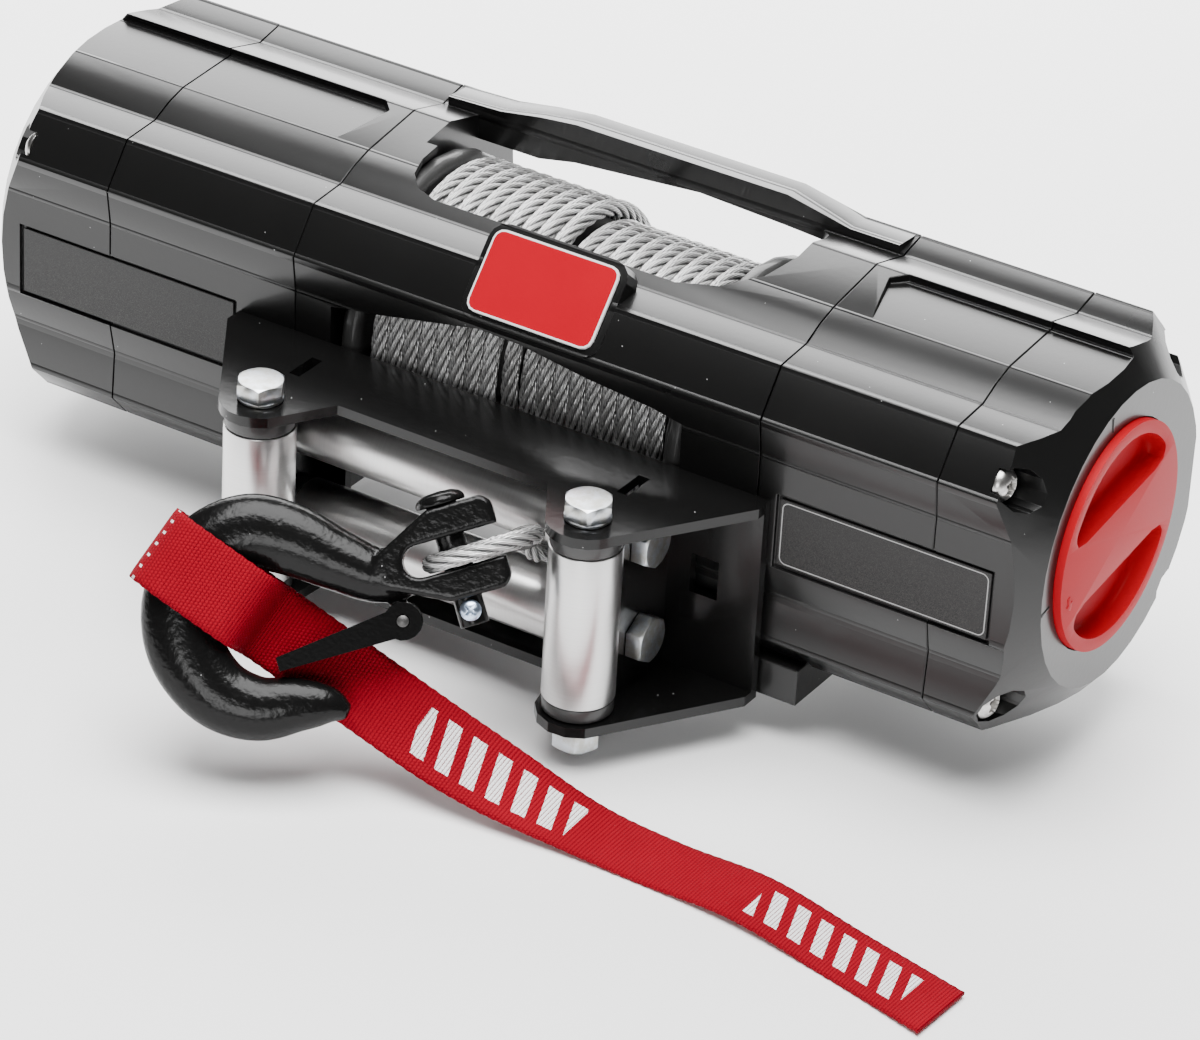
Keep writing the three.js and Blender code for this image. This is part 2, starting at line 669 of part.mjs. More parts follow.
// The rolled edge of a flange: a half round as wide as the flange, from one x to the other.
function rolledEdge(from, to) {
  const round = (to - from) / 2;
  const points = [];
  const steps = 4;
  for (let i = 0; i <= steps; i++) {
    const angle = (Math.PI * i) / steps;
    points.push([from + round - round * Math.cos(angle), flangeRadius - round + round * Math.sin(angle)]);
  }
  return points;
}
function drumSpool() {
  const left = -drumWallMotor + spoolEndPlay;
  const right = drumWallGear - spoolEndPlay;
  const leftEnd = -frameMotorSide + spoolEndPlay;
  const rightEnd = drumWallGear + gearWall + spoolEndPlay;
  return turnedX(
    [[leftEnd, spoolBore], [leftEnd, journalRadius], [left, journalRadius],
      ...rolledEdge(left, left + flangeWidth),
      [left + flangeWidth, barrelRadius], [right - flangeWidth, barrelRadius],
      ...rolledEdge(right - flangeWidth, right), [right, journalRadius], [rightEnd, journalRadius],
      [rightEnd, spoolBore], [leftEnd, spoolBore]],
    28,
  );
}
add("drum_spool", drumSpool(), darkIron());

// The two bushes that the drum's journals turn in.
function drumBush(from, to) {
  return tubeX(journalRadius + fit, journalRadius + fit + bushWall, from, to, 20);
}
add("drum_bush_motor_side", drumBush(-frameMotorSide + spoolEndPlay, -drumWallMotor), bronze());
add("drum_bush_gear_side", drumBush(drumWallGear, drumWallGear + gearWall), bronze());

// Rope on the drum: a plain core of inner layers, one layer higher on the motor side, under the outer layer.
const layerInset = 4.3; // from the flange's edge to the centre line of the outer layer on the motor side
const layerStep = 5.6; // how much lower the outer layer lies on the gear side
const upperLayerRadius = flangeRadius - layerInset;
const lowerLayerRadius = upperLayerRadius - layerStep;
const windingDiameter = 6; // drawn a little thin, so that the turns stay apart
const ropeFrom = -drumWallMotor + spoolEndPlay + flangeWidth + fit;
const ropeTo = drumWallGear - spoolEndPlay - flangeWidth - fit;
const stepAtShare = 0.47; // where the higher layer ends, as a share of the drum's width
const windingTurns = 18;
const windingSteps = 14;
const windingSides = 5;
const ropeStep = ropeFrom + stepAtShare * (ropeTo - ropeFrom);
function ropeCore() {
  const flatten = Math.cos(Math.PI / windingSteps);
  const high = (upperLayerRadius - windingDiameter / 2) * flatten - fit;
  const low = (lowerLayerRadius - windingDiameter / 2) * flatten - fit;
  const inner = barrelRadius + fit;
  return turnedX(
    [[ropeFrom, inner], [ropeFrom, high], [ropeStep - windingDiameter, high], [ropeStep, low],
      [ropeTo, low], [ropeTo, inner], [ropeFrom, inner]],
    36,
  );
}
add("rope_core", ropeCore(), wireRope());

// A closed tube of flat-sided rings along a list of points.
function tubeAlong(points, radius, sides) {
  const positions = [];
  const count = points.length;
  for (let i = 0; i < count; i++) {
    const ahead = points[Math.min(i + 1, count - 1)];
    const behind = points[Math.max(i - 1, 0)];
    const along = ahead.clone().sub(behind).normalize();
    const side = new THREE.Vector3().crossVectors(along, points[i].up ?? unitX).normalize();
    const up = new THREE.Vector3().crossVectors(side, along).normalize();
    for (let k = 0; k < sides; k++) {
      const angle = (2 * Math.PI * k) / sides;
      const p = points[i].clone();
      p.addScaledVector(side, radius * Math.cos(angle)).addScaledVector(up, radius * Math.sin(angle));
      positions.push(p.x, p.y, p.z);
    }
  }
  return closedMesh(positions, ringCorners(count, sides));
}

// The corners that join a row of like rings into a closed tube with a flat end on each side.
function ringCorners(count, sides) {
  const corners = [];
  for (let i = 0; i + 1 < count; i++) {
    for (let k = 0; k < sides; k++) {
      const next = (k + 1) % sides;
      const [a, b, c, d] = [i * sides + k, i * sides + next, (i + 1) * sides + k, (i + 1) * sides + next];
      corners.push(a, b, c, b, d, c);
    }
  }
  const last = (count - 1) * sides;
  for (let k = 1; k + 1 < sides; k++) {
    corners.push(0, k + 1, k);
    corners.push(last, last + k, last + k + 1);
  }
  return corners;
}

// Plain lists of positions and corners as a geometry that faces out.
function closedMesh(positions, corners) {
  const geometry = new THREE.BufferGeometry();
  geometry.setAttribute("position", new THREE.BufferAttribute(new Float32Array(positions), 3));
  geometry.setIndex(corners);
  if (asSolid(geometry).volume() < 0) {
    for (let i = 0; i < corners.length; i += 3) [corners[i], corners[i + 1]] = [corners[i + 1], corners[i]];
    geometry.setIndex(corners);
  }
  geometry.computeVertexNormals();
  return geometry;
}

// The outer layer: one unbroken helix that steps down a layer in half a turn.
function windingPoints() {
  const margin = windingDiameter / 2 + fit;
  const from = ropeFrom + margin;
  const to = ropeTo - margin;
  const pitch = (to - from) / windingTurns;
  const dropTurns = 0.5;
  const points = [];
  const steps = Math.round(windingTurns * windingSteps);
  for (let i = 0; i <= steps; i++) {
    const turn = i / windingSteps;
    const x = from + pitch * turn;
    const past = (x - ropeStep) / pitch;
    const blend = THREE.MathUtils.clamp(past / dropTurns + 0.5, 0, 1);
    const radius = upperLayerRadius + (lowerLayerRadius - upperLayerRadius) * blend;
    const angle = 2 * Math.PI * turn;
    points.push(new THREE.Vector3(x, radius * Math.cos(angle), axisHeight + radius * Math.sin(angle)));
  }
  // each end runs straight on for one diameter
  const lead = points[0].clone().sub(points[1]).normalize().multiplyScalar(windingDiameter);
  const tail = points[steps].clone().sub(points[steps - 1]).normalize().multiplyScalar(windingDiameter);
  points.unshift(points[0].clone().add(lead));
  points.push(points[points.length - 1].clone().add(tail));
  return points;
}

// The least gap between one turn and the next, over points of the winding.
function leastGap(points, apart, diameter) {
  let least = Infinity;
  for (let i = 0; i < points.length; i++) {
    for (let j = i + apart; j < points.length; j++) {
      least = Math.min(least, points[i].distanceTo(points[j]) - diameter);
    }
  }
  return least;
}
const winding = windingPoints();
const turnGap = leastGap(winding, windingSteps / 2, windingDiameter);
console.log("least gap between rope turns", turnGap.toFixed(2), "mm");
add("rope_winding", tubeAlong(winding, windingDiameter / 2, windingSides), wireRope());

// Drive shaft: a coupling sleeve on the armature shaft, a long shaft through the drum and the gears.
const driveRadius = 6;
const sleeveRadius = 9;
const sleeveFrom = shaftEnd - couplingOverlap;
const sunBoreShare = 0.5; // the sun is cut hollow, of the shaft's radius, and joined to the shaft
function driveShaft() {
  const sleeveTo = -frameMotorSide - seam;
  const driveEnd = ringTo + shaftPast;
  const firstGearTo = firstGearFrom + firstGearWidth;
  let shaft = asSolid(
    turnedX(
      [[sleeveFrom, 0], [sleeveFrom, sleeveRadius], [sleeveTo, sleeveRadius], [sleeveTo, driveRadius],
        [driveEnd, driveRadius], [driveEnd, 0]],
      16,
    ),
  );
  shaft = shaft.subtract(asSolid(rodX(shaftRadius + running, sleeveFrom - overrun, shaftEnd + fit, 16)));
  const bore = sunBoreShare * driveRadius;
  const sun = outerGear(firstSunTeeth, firstGearFrom, firstGearTo, bore, sunTurn(firstSunTeeth));
  return shaft.add(asSolid(sun));
}

// Gears: straight-sided teeth with play, all of one module.
const ringTeeth = 54;
const firstSunTeeth = 12;
const secondSunTeeth = 18;
const tipShare = 0.8; // of the module, outside the pitch circle
const rootShare = 1.15; // of the module, inside it
const toothShare = 0.42; // of the pitch, at the pitch circle
const flankTopShare = 0.55; // of half a tooth, at its tip
const flankRootShare = 1.5; // of half a tooth, at its root
const ringRim = 3.275; // of the ring gear, behind its teeth
const gearModule = (gearBore - running - ringRim) / (ringTeeth / 2 + rootShare);
const discWidth = 6;
const carrierGap = 1.2;
const carrierStandoff = 3; // from the drum's end to the second carrier's disc
const gearWidth = 22;
const firstGearWidth = 16;
const shaftPast = 2; // the drive shaft's end, past the ring gear
const ringLead = 12; // the ring gear starts so far from the drum's end
const ringPast = 9.2; // and ends so far past the first gears
const gearSpaceFrom = drumWallGear + gearWall + spoolEndPlay;
const secondDiscFrom = gearSpaceFrom + carrierStandoff;
const secondGearFrom = secondDiscFrom + discWidth + carrierGap;
const firstDiscFrom = secondGearFrom + gearWidth + 2 * carrierGap;
const firstGearFrom = firstDiscFrom + discWidth + carrierGap;
const ringFrom = gearSpaceFrom + ringLead;
const ringTo = firstGearFrom + firstGearWidth + ringPast;
function toothedOutline(teeth, tip, root, turn, y = 0, z = axisHeight) {
  const points = [];
  const step = (2 * Math.PI) / teeth;
  for (let i = 0; i < teeth; i++) {
    const middle = turn + i * step;
    const half = (step * toothShare) / 2;
    const foot = half * flankRootShare;
    const top = half * flankTopShare;
    const corners = [[root, -foot], [tip, -top], [tip, top], [root, foot]];
    for (const [radius, offset] of corners) {
      points.push([y + radius * Math.cos(middle + offset), z + radius * Math.sin(middle + offset)]);
    }
  }
  return points;
}
function pitchRadius(teeth) {
  return (teeth * gearModule) / 2;
}
function outerGear(teeth, from, to, bore, turn, y = 0, z = axisHeight) {
  const tip = pitchRadius(teeth) + tipShare * gearModule;
  const root = pitchRadius(teeth) - rootShare * gearModule;
  return alongX(toothedOutline(teeth, tip, root, turn, y, z), from, to, [ringPoints(bore, 10, y, z)]);
}

function ringGear() {
  const pitch = pitchRadius(ringTeeth);
  const teeth = toothedOutline(ringTeeth, pitch - tipShare * gearModule, pitch + rootShare * gearModule, 0);
  return alongX(ringPoints(gearBore - running, 36, 0, axisHeight), ringFrom, ringTo, [teeth]);
}
add("ring_gear", ringGear(), gearSteel());

// A planet sits between a sun and the ring. It is turned so that its teeth fall into theirs.
const planetCount = 3;
function planetPlace(sunTeeth, index) {
  const teeth = (ringTeeth - sunTeeth) / 2;
  const centre = pitchRadius(sunTeeth) + pitchRadius(teeth);
  const angle = (2 * Math.PI * index) / planetCount + Math.PI / 2;
  // a ring tooth lies where angle * ringTeeth is a whole number of turns; the planet shows a gap there
  const ringPhase = (angle * ringTeeth) / (2 * Math.PI);
  const turn = angle + ((0.5 - ringPhase) * 2 * Math.PI) / -teeth;
  return { teeth, y: centre * Math.cos(angle), z: axisHeight + centre * Math.sin(angle), turn };
}
// A sun tooth phase that meets the first planet.
function sunTurn(sunTeeth) {
  const planet = planetPlace(sunTeeth, 0);
  const angle = Math.PI / 2;
  const inward = angle + Math.PI;
  const planetPhase = ((inward - planet.turn) * planet.teeth) / (2 * Math.PI);
  return angle - ((0.5 - planetPhase) * 2 * Math.PI) / -sunTeeth;
}

// Second carrier, next to the drum: a disc with a boss towards the drum and three planet pins.
const carrierInset = 10; // from the gears' bore to the carriers' edge
const carrierRadius = gearBore - carrierInset;
const secondPinRadius = 4;
const firstPinRadius = 3.5;
const shaftHole = driveRadius + running * 2;
function carrier(discFrom, sunTeeth, pinRadius, pinLength) {
  let body = asSolid(alongX(ringPoints(carrierRadius, 28, 0, axisHeight), discFrom, discFrom + discWidth));
  const pinTo = discFrom + discWidth + pinLength;
  for (let i = 0; i < planetCount; i++) {
    const { y, z } = planetPlace(sunTeeth, i);
    body = body.add(asSolid(rodX(pinRadius, discFrom + discWidth / 2, pinTo, 10, y, z)));
  }
  return body;
}
function secondCarrier() {
  const bossFrom = gearSpaceFrom + fit;
  const body = carrier(secondDiscFrom, secondSunTeeth, secondPinRadius, gearWidth + carrierGap);
  const boss = asSolid(rodX(journalRadius - running, bossFrom, secondDiscFrom + discWidth / 2, 20));
  const hole = rodX(shaftHole, bossFrom - overrun, secondDiscFrom + discWidth + overrun, 14);
  return body.add(boss).subtract(asSolid(hole));
}
add("second_carrier", secondCarrier(), gearSteel());

// First carrier: a disc with the second sun on one side and three planet pins on the other.
function firstCarrier() {
  const pitch = pitchRadius(secondSunTeeth);
  const tip = pitch + tipShare * gearModule;
  const root = pitch - rootShare * gearModule;
  const teeth = toothedOutline(secondSunTeeth, tip, root, sunTurn(secondSunTeeth));
  const sun = asSolid(alongX(teeth, secondGearFrom, firstDiscFrom + discWidth / 2));
  const body = carrier(firstDiscFrom, firstSunTeeth, firstPinRadius, firstGearWidth + carrierGap);
  const hole = rodX(shaftHole, secondGearFrom - overrun, firstDiscFrom + discWidth + overrun, 14);
  return body.add(sun).subtract(asSolid(hole));
}
add("first_carrier", firstCarrier(), gearSteel());

// The drive shaft with its sun, then the planets of both stages.
add("drive_shaft", driveShaft(), gearSteel());
function addPlanets(stage, sunTeeth, from, width, pinRadius) {
  for (let i = 0; i < planetCount; i++) {
    const { teeth, y, z, turn } = planetPlace(sunTeeth, i);
    const gear = outerGear(teeth, from, from + width, pinRadius + running, turn, y, z);
    add(stage + "_planet_" + (i + 1), gear, gearSteel());
  }
}
addPlanets("second", secondSunTeeth, secondGearFrom, gearWidth, secondPinRadius);
addPlanets("first", firstSunTeeth, firstGearFrom, firstGearWidth, firstPinRadius);

// Fairlead bracket: folded plate with two flanges, two side tabs, a rope opening and square holes.
const plateThickness = 3.8;
const bracketHalfWidth = 109.5;
const bracketRise = 4; // above the axis
const bracketHeight = 78;
const bracketTop = axisHeight + bracketRise;
const bracketBottom = bracketTop - bracketHeight;
const bracketBack = frontFace - fit;
const bracketFace = bracketBack - plateThickness;
const uprightX = 66.8; // vertical rollers, from the middle
const uprightReach = 43.5; // vertical rollers, out from the plate's face
const levelReach = 17.4; // horizontal rollers, out from the plate's face
const uprightY = bracketFace - uprightReach;
const levelY = bracketFace - levelReach;
const levelUpperDrop = 18.5; // horizontal rollers, from the top and the bottom of the bracket
const levelLowerRise = 22;
const levelUpperZ = bracketTop - levelUpperDrop;
const levelLowerZ = bracketBottom + levelLowerRise;
const lobeRadius = 14.6;
const lobeStart = -0.35; // radians, where a lobe leaves the flange's outer edge
const upperLobeShare = 0.75; // of a half turn, how far round the upper flange's lobes run
const upperFlange = { reach: 31.5, notchX: 43, lobeStop: -Math.PI * upperLobeShare };
const lowerFlange = { reach: 24.9, notchX: 50.6, lobeStop: -Math.PI };
const tabX = 69.5; // inner face of each side tab
const tabReach = 29.9;
const rollerBoltRadius = 4.7;
const squareHole = 11;
const squareHoleHeight = 15;
const squareHoleX = 88;
const squareHoleDrop = 36;
const slotReach = 22.9; // the slot beside each tab's tenon, out from the plate's face
const slotLength = 14;
const mouthHalfWidth = 60; // the opening for the rope
const mouthRise = 11.4;
const mouthDrop = 9.1;
function flangePlan({ reach, notchX, lobeStop }) {
  const right = [[bracketHalfWidth, bracketBack], [bracketHalfWidth, bracketFace - plateThickness]];
  const steps = 6;
  for (let i = 0; i <= steps; i++) {
    const angle = lobeStart + ((lobeStop - lobeStart) * i) / steps;
    right.push([uprightX + lobeRadius * Math.cos(angle), uprightY + lobeRadius * Math.sin(angle)]);
  }
  right.push([notchX, bracketFace - reach]);
  const left = right.map(([x, y]) => [-x, y]).reverse();
  return [...right, ...left].reverse();
}

// The holes and slots on one side of the bracket: side is -1 or 1.
function bracketCuts(side) {
  const cuts = [];
  const bolt = rollerBoltRadius + fit;
  const through = [[bracketTop + overrun, 0], [bracketTop + overrun, bolt], [bracketBottom - overrun, bolt],
    [bracketBottom - overrun, 0]].reverse();
  cuts.push(turnedZ(through, 12, side * uprightX, uprightY));
  const near = side * (tabX - overrun);
  const far = side * (tabX + plateThickness + overrun);
  for (const z of [levelUpperZ, levelLowerZ]) {
    cuts.push(rodX(bolt, Math.min(near, far), Math.max(near, far), 12, levelY, z));
  }
  const half = squareHole / 2;
  const holeX = side * squareHoleX;
  const holeZ = bracketTop - squareHoleDrop;
  const high = squareHoleHeight / 2;
  const hole = rectangle(holeX - half, holeZ - high, holeX + half, holeZ + high);
  cuts.push(alongY(hole, bracketFace - overrun, bracketBack + overrun));
  const slotHalf = plateThickness / 2 + fit;
  const slotX = side * (tabX - slotHalf);
  const slotY = bracketFace - slotReach;
  const slot = rectangle(slotX - slotHalf, slotY, slotX + slotHalf, slotY + slotLength);
  cuts.push(alongZ(slot, bracketTop - 2 * plateThickness, bracketTop + overrun));
  return cuts;
}
function fairleadBracket() {
  const whole = rectangle(-bracketHalfWidth, bracketBottom, bracketHalfWidth, bracketTop);
  const foldLow = bracketBottom + plateThickness;
  let bracket = asSolid(alongY(whole, bracketFace, bracketBack))
    .add(asSolid(alongZ(flangePlan(upperFlange), bracketTop - plateThickness, bracketTop)))
    .add(asSolid(alongZ(flangePlan(lowerFlange), bracketBottom, foldLow)));
  const half = plateThickness / 2;
  const tab = rectangle(bracketFace - tabReach, foldLow - half, bracketFace + half, bracketTop - half);
  for (const side of [-1, 1]) {
    const [a, b] = [side * tabX, side * (tabX + plateThickness)];
    bracket = bracket.add(asSolid(alongX(tab, Math.min(a, b), Math.max(a, b))));
    for (const cut of bracketCuts(side)) bracket = bracket.subtract(asSolid(cut));
  }
  const mouth = rectangle(-mouthHalfWidth, bracketBottom + mouthRise, mouthHalfWidth, bracketTop - mouthDrop);
  return bracket.subtract(asSolid(alongY(mouth, bracketFace - overrun, bracketBack + overrun)));
}
add("fairlead_bracket", fairleadBracket(), blackPlate());

// Four plain rollers on bolts.
const rollerBore = rollerBoltRadius + running;
const rollerEndPlay = 0.6;
function uprightRoller(x) {
  const low = bracketBottom + plateThickness + rollerEndPlay;
  const high = bracketTop - plateThickness - rollerEndPlay;
  const outer = rollerDiameter / 2;
  const section = [[low, rollerBore], [low, outer], [high, outer], [high, rollerBore], [low, rollerBore]];
  return turnedZ(section, 24, x, uprightY);
}
function levelRoller(z) {
  const half = tabX - rollerEndPlay;
  return tubeX(rollerBore, rollerDiameter / 2, -half, half, 24, levelY, z);
}
add("upright_roller_left", uprightRoller(-uprightX), rollerSteel());
add("upright_roller_right", uprightRoller(uprightX), rollerSteel());
add("level_roller_upper", levelRoller(levelUpperZ), rollerSteel());
add("level_roller_lower", levelRoller(levelLowerZ), rollerSteel());

// Roller bolts with hexagon heads, and the nuts of the vertical ones.
const hexRadius = 9; // across corners, halved
const headHeight = 6;
const washer = 1.6;
const nutHeight = 10;
const boltTip = 3;
function uprightBolt(x) {
  const under = bracketTop + washer;
  const tip = bracketBottom - fit - nutHeight - boltTip;
  const shank = asSolid(alongZ(ringPoints(rollerBoltRadius, 12, x, uprightY), tip, under + fit));
  const head = asSolid(alongZ(ringPoints(hexRadius, 6, x, uprightY), under, under + headHeight));
  const ring = asSolid(alongZ(ringPoints(hexRadius, 12, x, uprightY), bracketTop + fit, under + fit));
  return shank.add(head).add(ring);
}
function uprightNut(x) {
  const high = bracketBottom - fit;
  const bore = ringPoints(rollerBoltRadius + fit, 12, x, uprightY);
  return alongZ(ringPoints(hexRadius, 6, x, uprightY), high - nutHeight, high, [bore]);
}
function levelBolt(z) {
  const under = tabX + plateThickness + fit;
  const tip = -tabX - plateThickness - fit;
  const shank = asSolid(alongX(ringPoints(rollerBoltRadius, 12, levelY, z), tip, under + fit));
  const head = asSolid(alongX(ringPoints(hexRadius, 6, levelY, z), under, under + headHeight));
  return shank.add(head);
}
add("upright_bolt_left", uprightBolt(-uprightX), zincSteel());
add("upright_bolt_right", uprightBolt(uprightX), zincSteel());
add("upright_nut_left", uprightNut(-uprightX), zincSteel());
add("upright_nut_right", uprightNut(uprightX), zincSteel());
add("level_bolt_upper", levelBolt(levelUpperZ), zincSteel());
add("level_bolt_lower", levelBolt(levelLowerZ), zincSteel());

// The hook's own frame: X towards the rope, Y along the clevis pin, Z out of the hook's flat side.
const hookAzimuth = THREE.MathUtils.degToRad(30.9);
const hookElevation = THREE.MathUtils.degToRad(30.3);
const hookTurn = THREE.MathUtils.degToRad(19.3);
const pinX = 31.6;
const pinReach = 68.8; // the clevis pin, out from the bracket's face
const pinDrop = 12; // below the drum axis
const pinPlace = new THREE.Vector3(pinX, bracketFace - pinReach, axisHeight - pinDrop);
const hookZ = new THREE.Vector3(
  Math.sin(hookAzimuth) * Math.cos(hookElevation),
  -Math.cos(hookAzimuth) * Math.cos(hookElevation),
  Math.sin(hookElevation),
);
const level = new THREE.Vector3(Math.cos(hookAzimuth), Math.sin(hookAzimuth), 0);
const rise = new THREE.Vector3().crossVectors(hookZ, level);
const hookX = level.clone().multiplyScalar(Math.cos(hookTurn)).addScaledVector(rise, Math.sin(hookTurn));
const hookY = new THREE.Vector3().crossVectors(hookZ, hookX);
const hookGroup = new THREE.Group();
hookGroup.position.copy(pinPlace);
hookGroup.quaternion.setFromRotationMatrix(new THREE.Matrix4().makeBasis(hookX, hookY, hookZ));
winch.add(hookGroup);
console.log("clevis pin axis", hookY.toArray().map((v) => v.toFixed(5)).join(", "));
console.log("hook normal", hookZ.toArray().map((v) => v.toFixed(5)).join(", "));

// Hook: a forged bar of oval section, from the neck round the bowl to the tip.
const hookRoute = [
  // x, y, half width, half thickness
  [-14, 0, 9, 8], [-26, 0.5, 10, 8], [-38, 9.5, 10.8, 8.2], [-51.5, 21, 12.2, 8.4], [-64.5, 27.4, 12.8, 8.4],
  [-80.5, 24.5, 12.8, 8.4], [-92, 11.5, 13.2, 8.4], [-95, -5, 13.2, 8.4], [-89, -21.3, 12.2, 8.2],
  [-77.7, -30.2, 11, 8], [-64, -32.8, 9.2, 7.4], [-54, -36, 6.4, 5.6], [-48.5, -40, 2.6, 2.8],
];
function ovalSweep(route, sides) {
  const centres = route.map(([x, y]) => new THREE.Vector3(x, y, 0));
  const curve = new THREE.CatmullRomCurve3(centres, false, "centripetal");
  const perSpan = 2;
  const steps = (route.length - 1) * perSpan;
  const positions = [];
  for (let i = 0; i <= steps; i++) {
    const at = i / perSpan;
    const low = Math.min(Math.floor(at), route.length - 2);
    const mix = at - low;
    const centre = curve.getPoint(i / steps);
    const along = curve.getTangent(i / steps);
    const across = new THREE.Vector3(-along.y, along.x, 0);
    const width = route[low][2] * (1 - mix) + route[low + 1][2] * mix;
    const thick = route[low][3] * (1 - mix) + route[low + 1][3] * mix;
    for (let k = 0; k < sides; k++) {
      const angle = (2 * Math.PI * k) / sides;
      positions.push(
        centre.x + across.x * width * Math.cos(angle),
        centre.y + across.y * width * Math.cos(angle),
        thick * Math.sin(angle),
      );
    }
  }
  return closedMesh(positions, ringCorners(steps + 1, sides));
}
const clevisMiddle = 2; // the fork lies a little off the pin's centre
const forkInner = 5.5;
const forkOuter = 16;
const forkHalfThickness = 8.2;
const earEnd = 16.5;
const earChamfer = 3;
const forkRoot = -20;
const forkStart = -26;
const throatStart = -17.5;
const clevisPinRadius = 5;
const lugX = -22.7;
const lugY = -15.6;
const lugRadius = 6.2;
const lugHalf = 3.6;
const latchPinRadius = 2;
function hookBody() {
  const fork = [
    [forkStart, clevisMiddle - forkInner], [forkRoot, clevisMiddle - forkInner - earChamfer],
    [-clevisPinRadius, clevisMiddle - forkOuter], [earEnd - earChamfer, clevisMiddle - forkOuter],
    [earEnd, clevisMiddle - forkOuter + earChamfer], [earEnd, clevisMiddle + forkOuter - earChamfer],
    [earEnd - earChamfer, clevisMiddle + forkOuter], [-clevisPinRadius, clevisMiddle + forkOuter],
    [forkRoot, clevisMiddle + forkInner + earChamfer], [forkStart, clevisMiddle + forkInner],
  ];
  const lug = ringPoints(lugRadius, 16, lugX, lugY);
  let body = asSolid(ovalSweep(hookRoute, 10))
    .add(asSolid(alongZ(fork, -forkHalfThickness, forkHalfThickness)))
    .add(asSolid(alongZ(lug, -lugHalf, lugHalf)));
  // the throat between the ears, round at its closed end
  const throat = [[earEnd + overrun, clevisMiddle - forkInner], [earEnd + overrun, clevisMiddle + forkInner]];
  const steps = 8;
  for (let i = 0; i <= steps; i++) {
    const angle = Math.PI / 2 + (Math.PI * i) / steps;
    const x = throatStart + forkInner + forkInner * Math.cos(angle);
    throat.push([x, clevisMiddle + forkInner * Math.sin(angle)]);
  }
  const slotHalf = forkHalfThickness + overrun;
  body = body.subtract(asSolid(alongZ(throat, -slotHalf, slotHalf)));
  const pinHole = new THREE.CylinderGeometry(clevisPinRadius + fit, clevisPinRadius + fit, 4 * forkOuter, 16);
  body = body.subtract(asSolid(pinHole));
  const latchHole = new THREE.CylinderGeometry(latchPinRadius + fit, latchPinRadius + fit, 4 * lugRadius, 12);
  latchHole.rotateX(Math.PI / 2).translate(lugX, lugY, 0);
  return body.subtract(asSolid(latchHole));
}
add("hook", hookBody(), blackCasting(), hookGroup);

// Clevis pin: a mushroom head above the upper ear, a long shank, and a cross screw through its lower end.
const pinHeadRadius = 8.5;
const pinHeadHeight = 4.5;
const pinHeadEdgeShare = 0.55; // the head's upright edge, of its height
const pinHeadCrownShare = 0.6; // its flat top, of its radius
const crossPlaceShare = 0.45; // of the shank below the ear, down to the cross screw
const pinBelow = 9.5; // the shank below the lower ear
const crossScrewRadius = 2.4;
const crossHeadRadius = 3.6;
const crossHeadHeight = 2.6;
function clevisPin() {
  const top = clevisMiddle + forkOuter + fit;
  const bottom = clevisMiddle - forkOuter - pinBelow;
  const crown = top + pinHeadHeight;
  const profile = [[bottom, 0], [bottom, clevisPinRadius], [top, clevisPinRadius], [top, pinHeadRadius],
    [top + pinHeadHeight * pinHeadEdgeShare, pinHeadRadius], [crown, pinHeadRadius * pinHeadCrownShare],
    [crown, 0]];
  const shank = new THREE.LatheGeometry(profile.map(([y, radius]) => new THREE.Vector2(radius, y)), 18);
  const screwY = clevisMiddle - forkOuter - pinBelow * crossPlaceShare;
  const screwLength = 2 * clevisPinRadius + crossHeadHeight;
  const screw = new THREE.CylinderGeometry(crossScrewRadius, crossScrewRadius, screwLength, 12);
  screw.rotateX(Math.PI / 2).translate(0, screwY, -crossHeadHeight / 2);
  const head = new THREE.CylinderGeometry(crossHeadRadius, crossHeadRadius, crossHeadHeight, 16);
  head.rotateX(Math.PI / 2).translate(0, screwY, clevisPinRadius + crossHeadHeight / 2 - fit);
  return asSolid(shank).add(asSolid(screw)).add(asSolid(head));
}
add("clevis_pin", clevisPin(), darkIron(), hookGroup);

// Latch: two cheeks beside the hook's lug and a bar that closes the mouth.
const latchLength = 44;
const latchHalfWidth = 5.8;
const latchRootHalf = 5;
const latchTipHalf = 2.4;
const latchCheek = lugHalf + fit;
const latchDrop = -2.4; // how far the bar's end lies below its pivot
function hookLatch() {
  const cheek = alongZ(ringPoints(lugRadius + fit, 16, lugX, lugY), -latchHalfWidth, latchHalfWidth);
  const bar = [
    [lugX, lugY - latchRootHalf], [lugX, lugY + latchRootHalf],
    [lugX - latchLength, lugY + latchDrop + latchTipHalf],
    [lugX - latchLength, lugY + latchDrop - latchTipHalf],
  ];
  const arm = alongZ(bar, -latchHalfWidth, latchHalfWidth);
  const room = alongZ(ringPoints(lugRadius + 2 * running, 16, lugX, lugY), -latchCheek, latchCheek);
  const latch = asSolid(cheek).add(asSolid(arm)).subtract(asSolid(room));
  const bore = new THREE.CylinderGeometry(latchPinRadius + fit, latchPinRadius + fit, 4 * latchHalfWidth, 12);
  return latch.subtract(asSolid(bore.rotateX(Math.PI / 2).translate(lugX, lugY, 0)));
}
add("hook_latch", hookLatch(), blackPlate(), hookGroup);
function latchPin() {
  const half = latchHalfWidth + fit;
  const pin = new THREE.CylinderGeometry(latchPinRadius, latchPinRadius, 2 * half, 14);
  return pin.rotateX(Math.PI / 2).translate(lugX, lugY, 0);
}
add("latch_pin", latchPin(), zincSteel(), hookGroup);

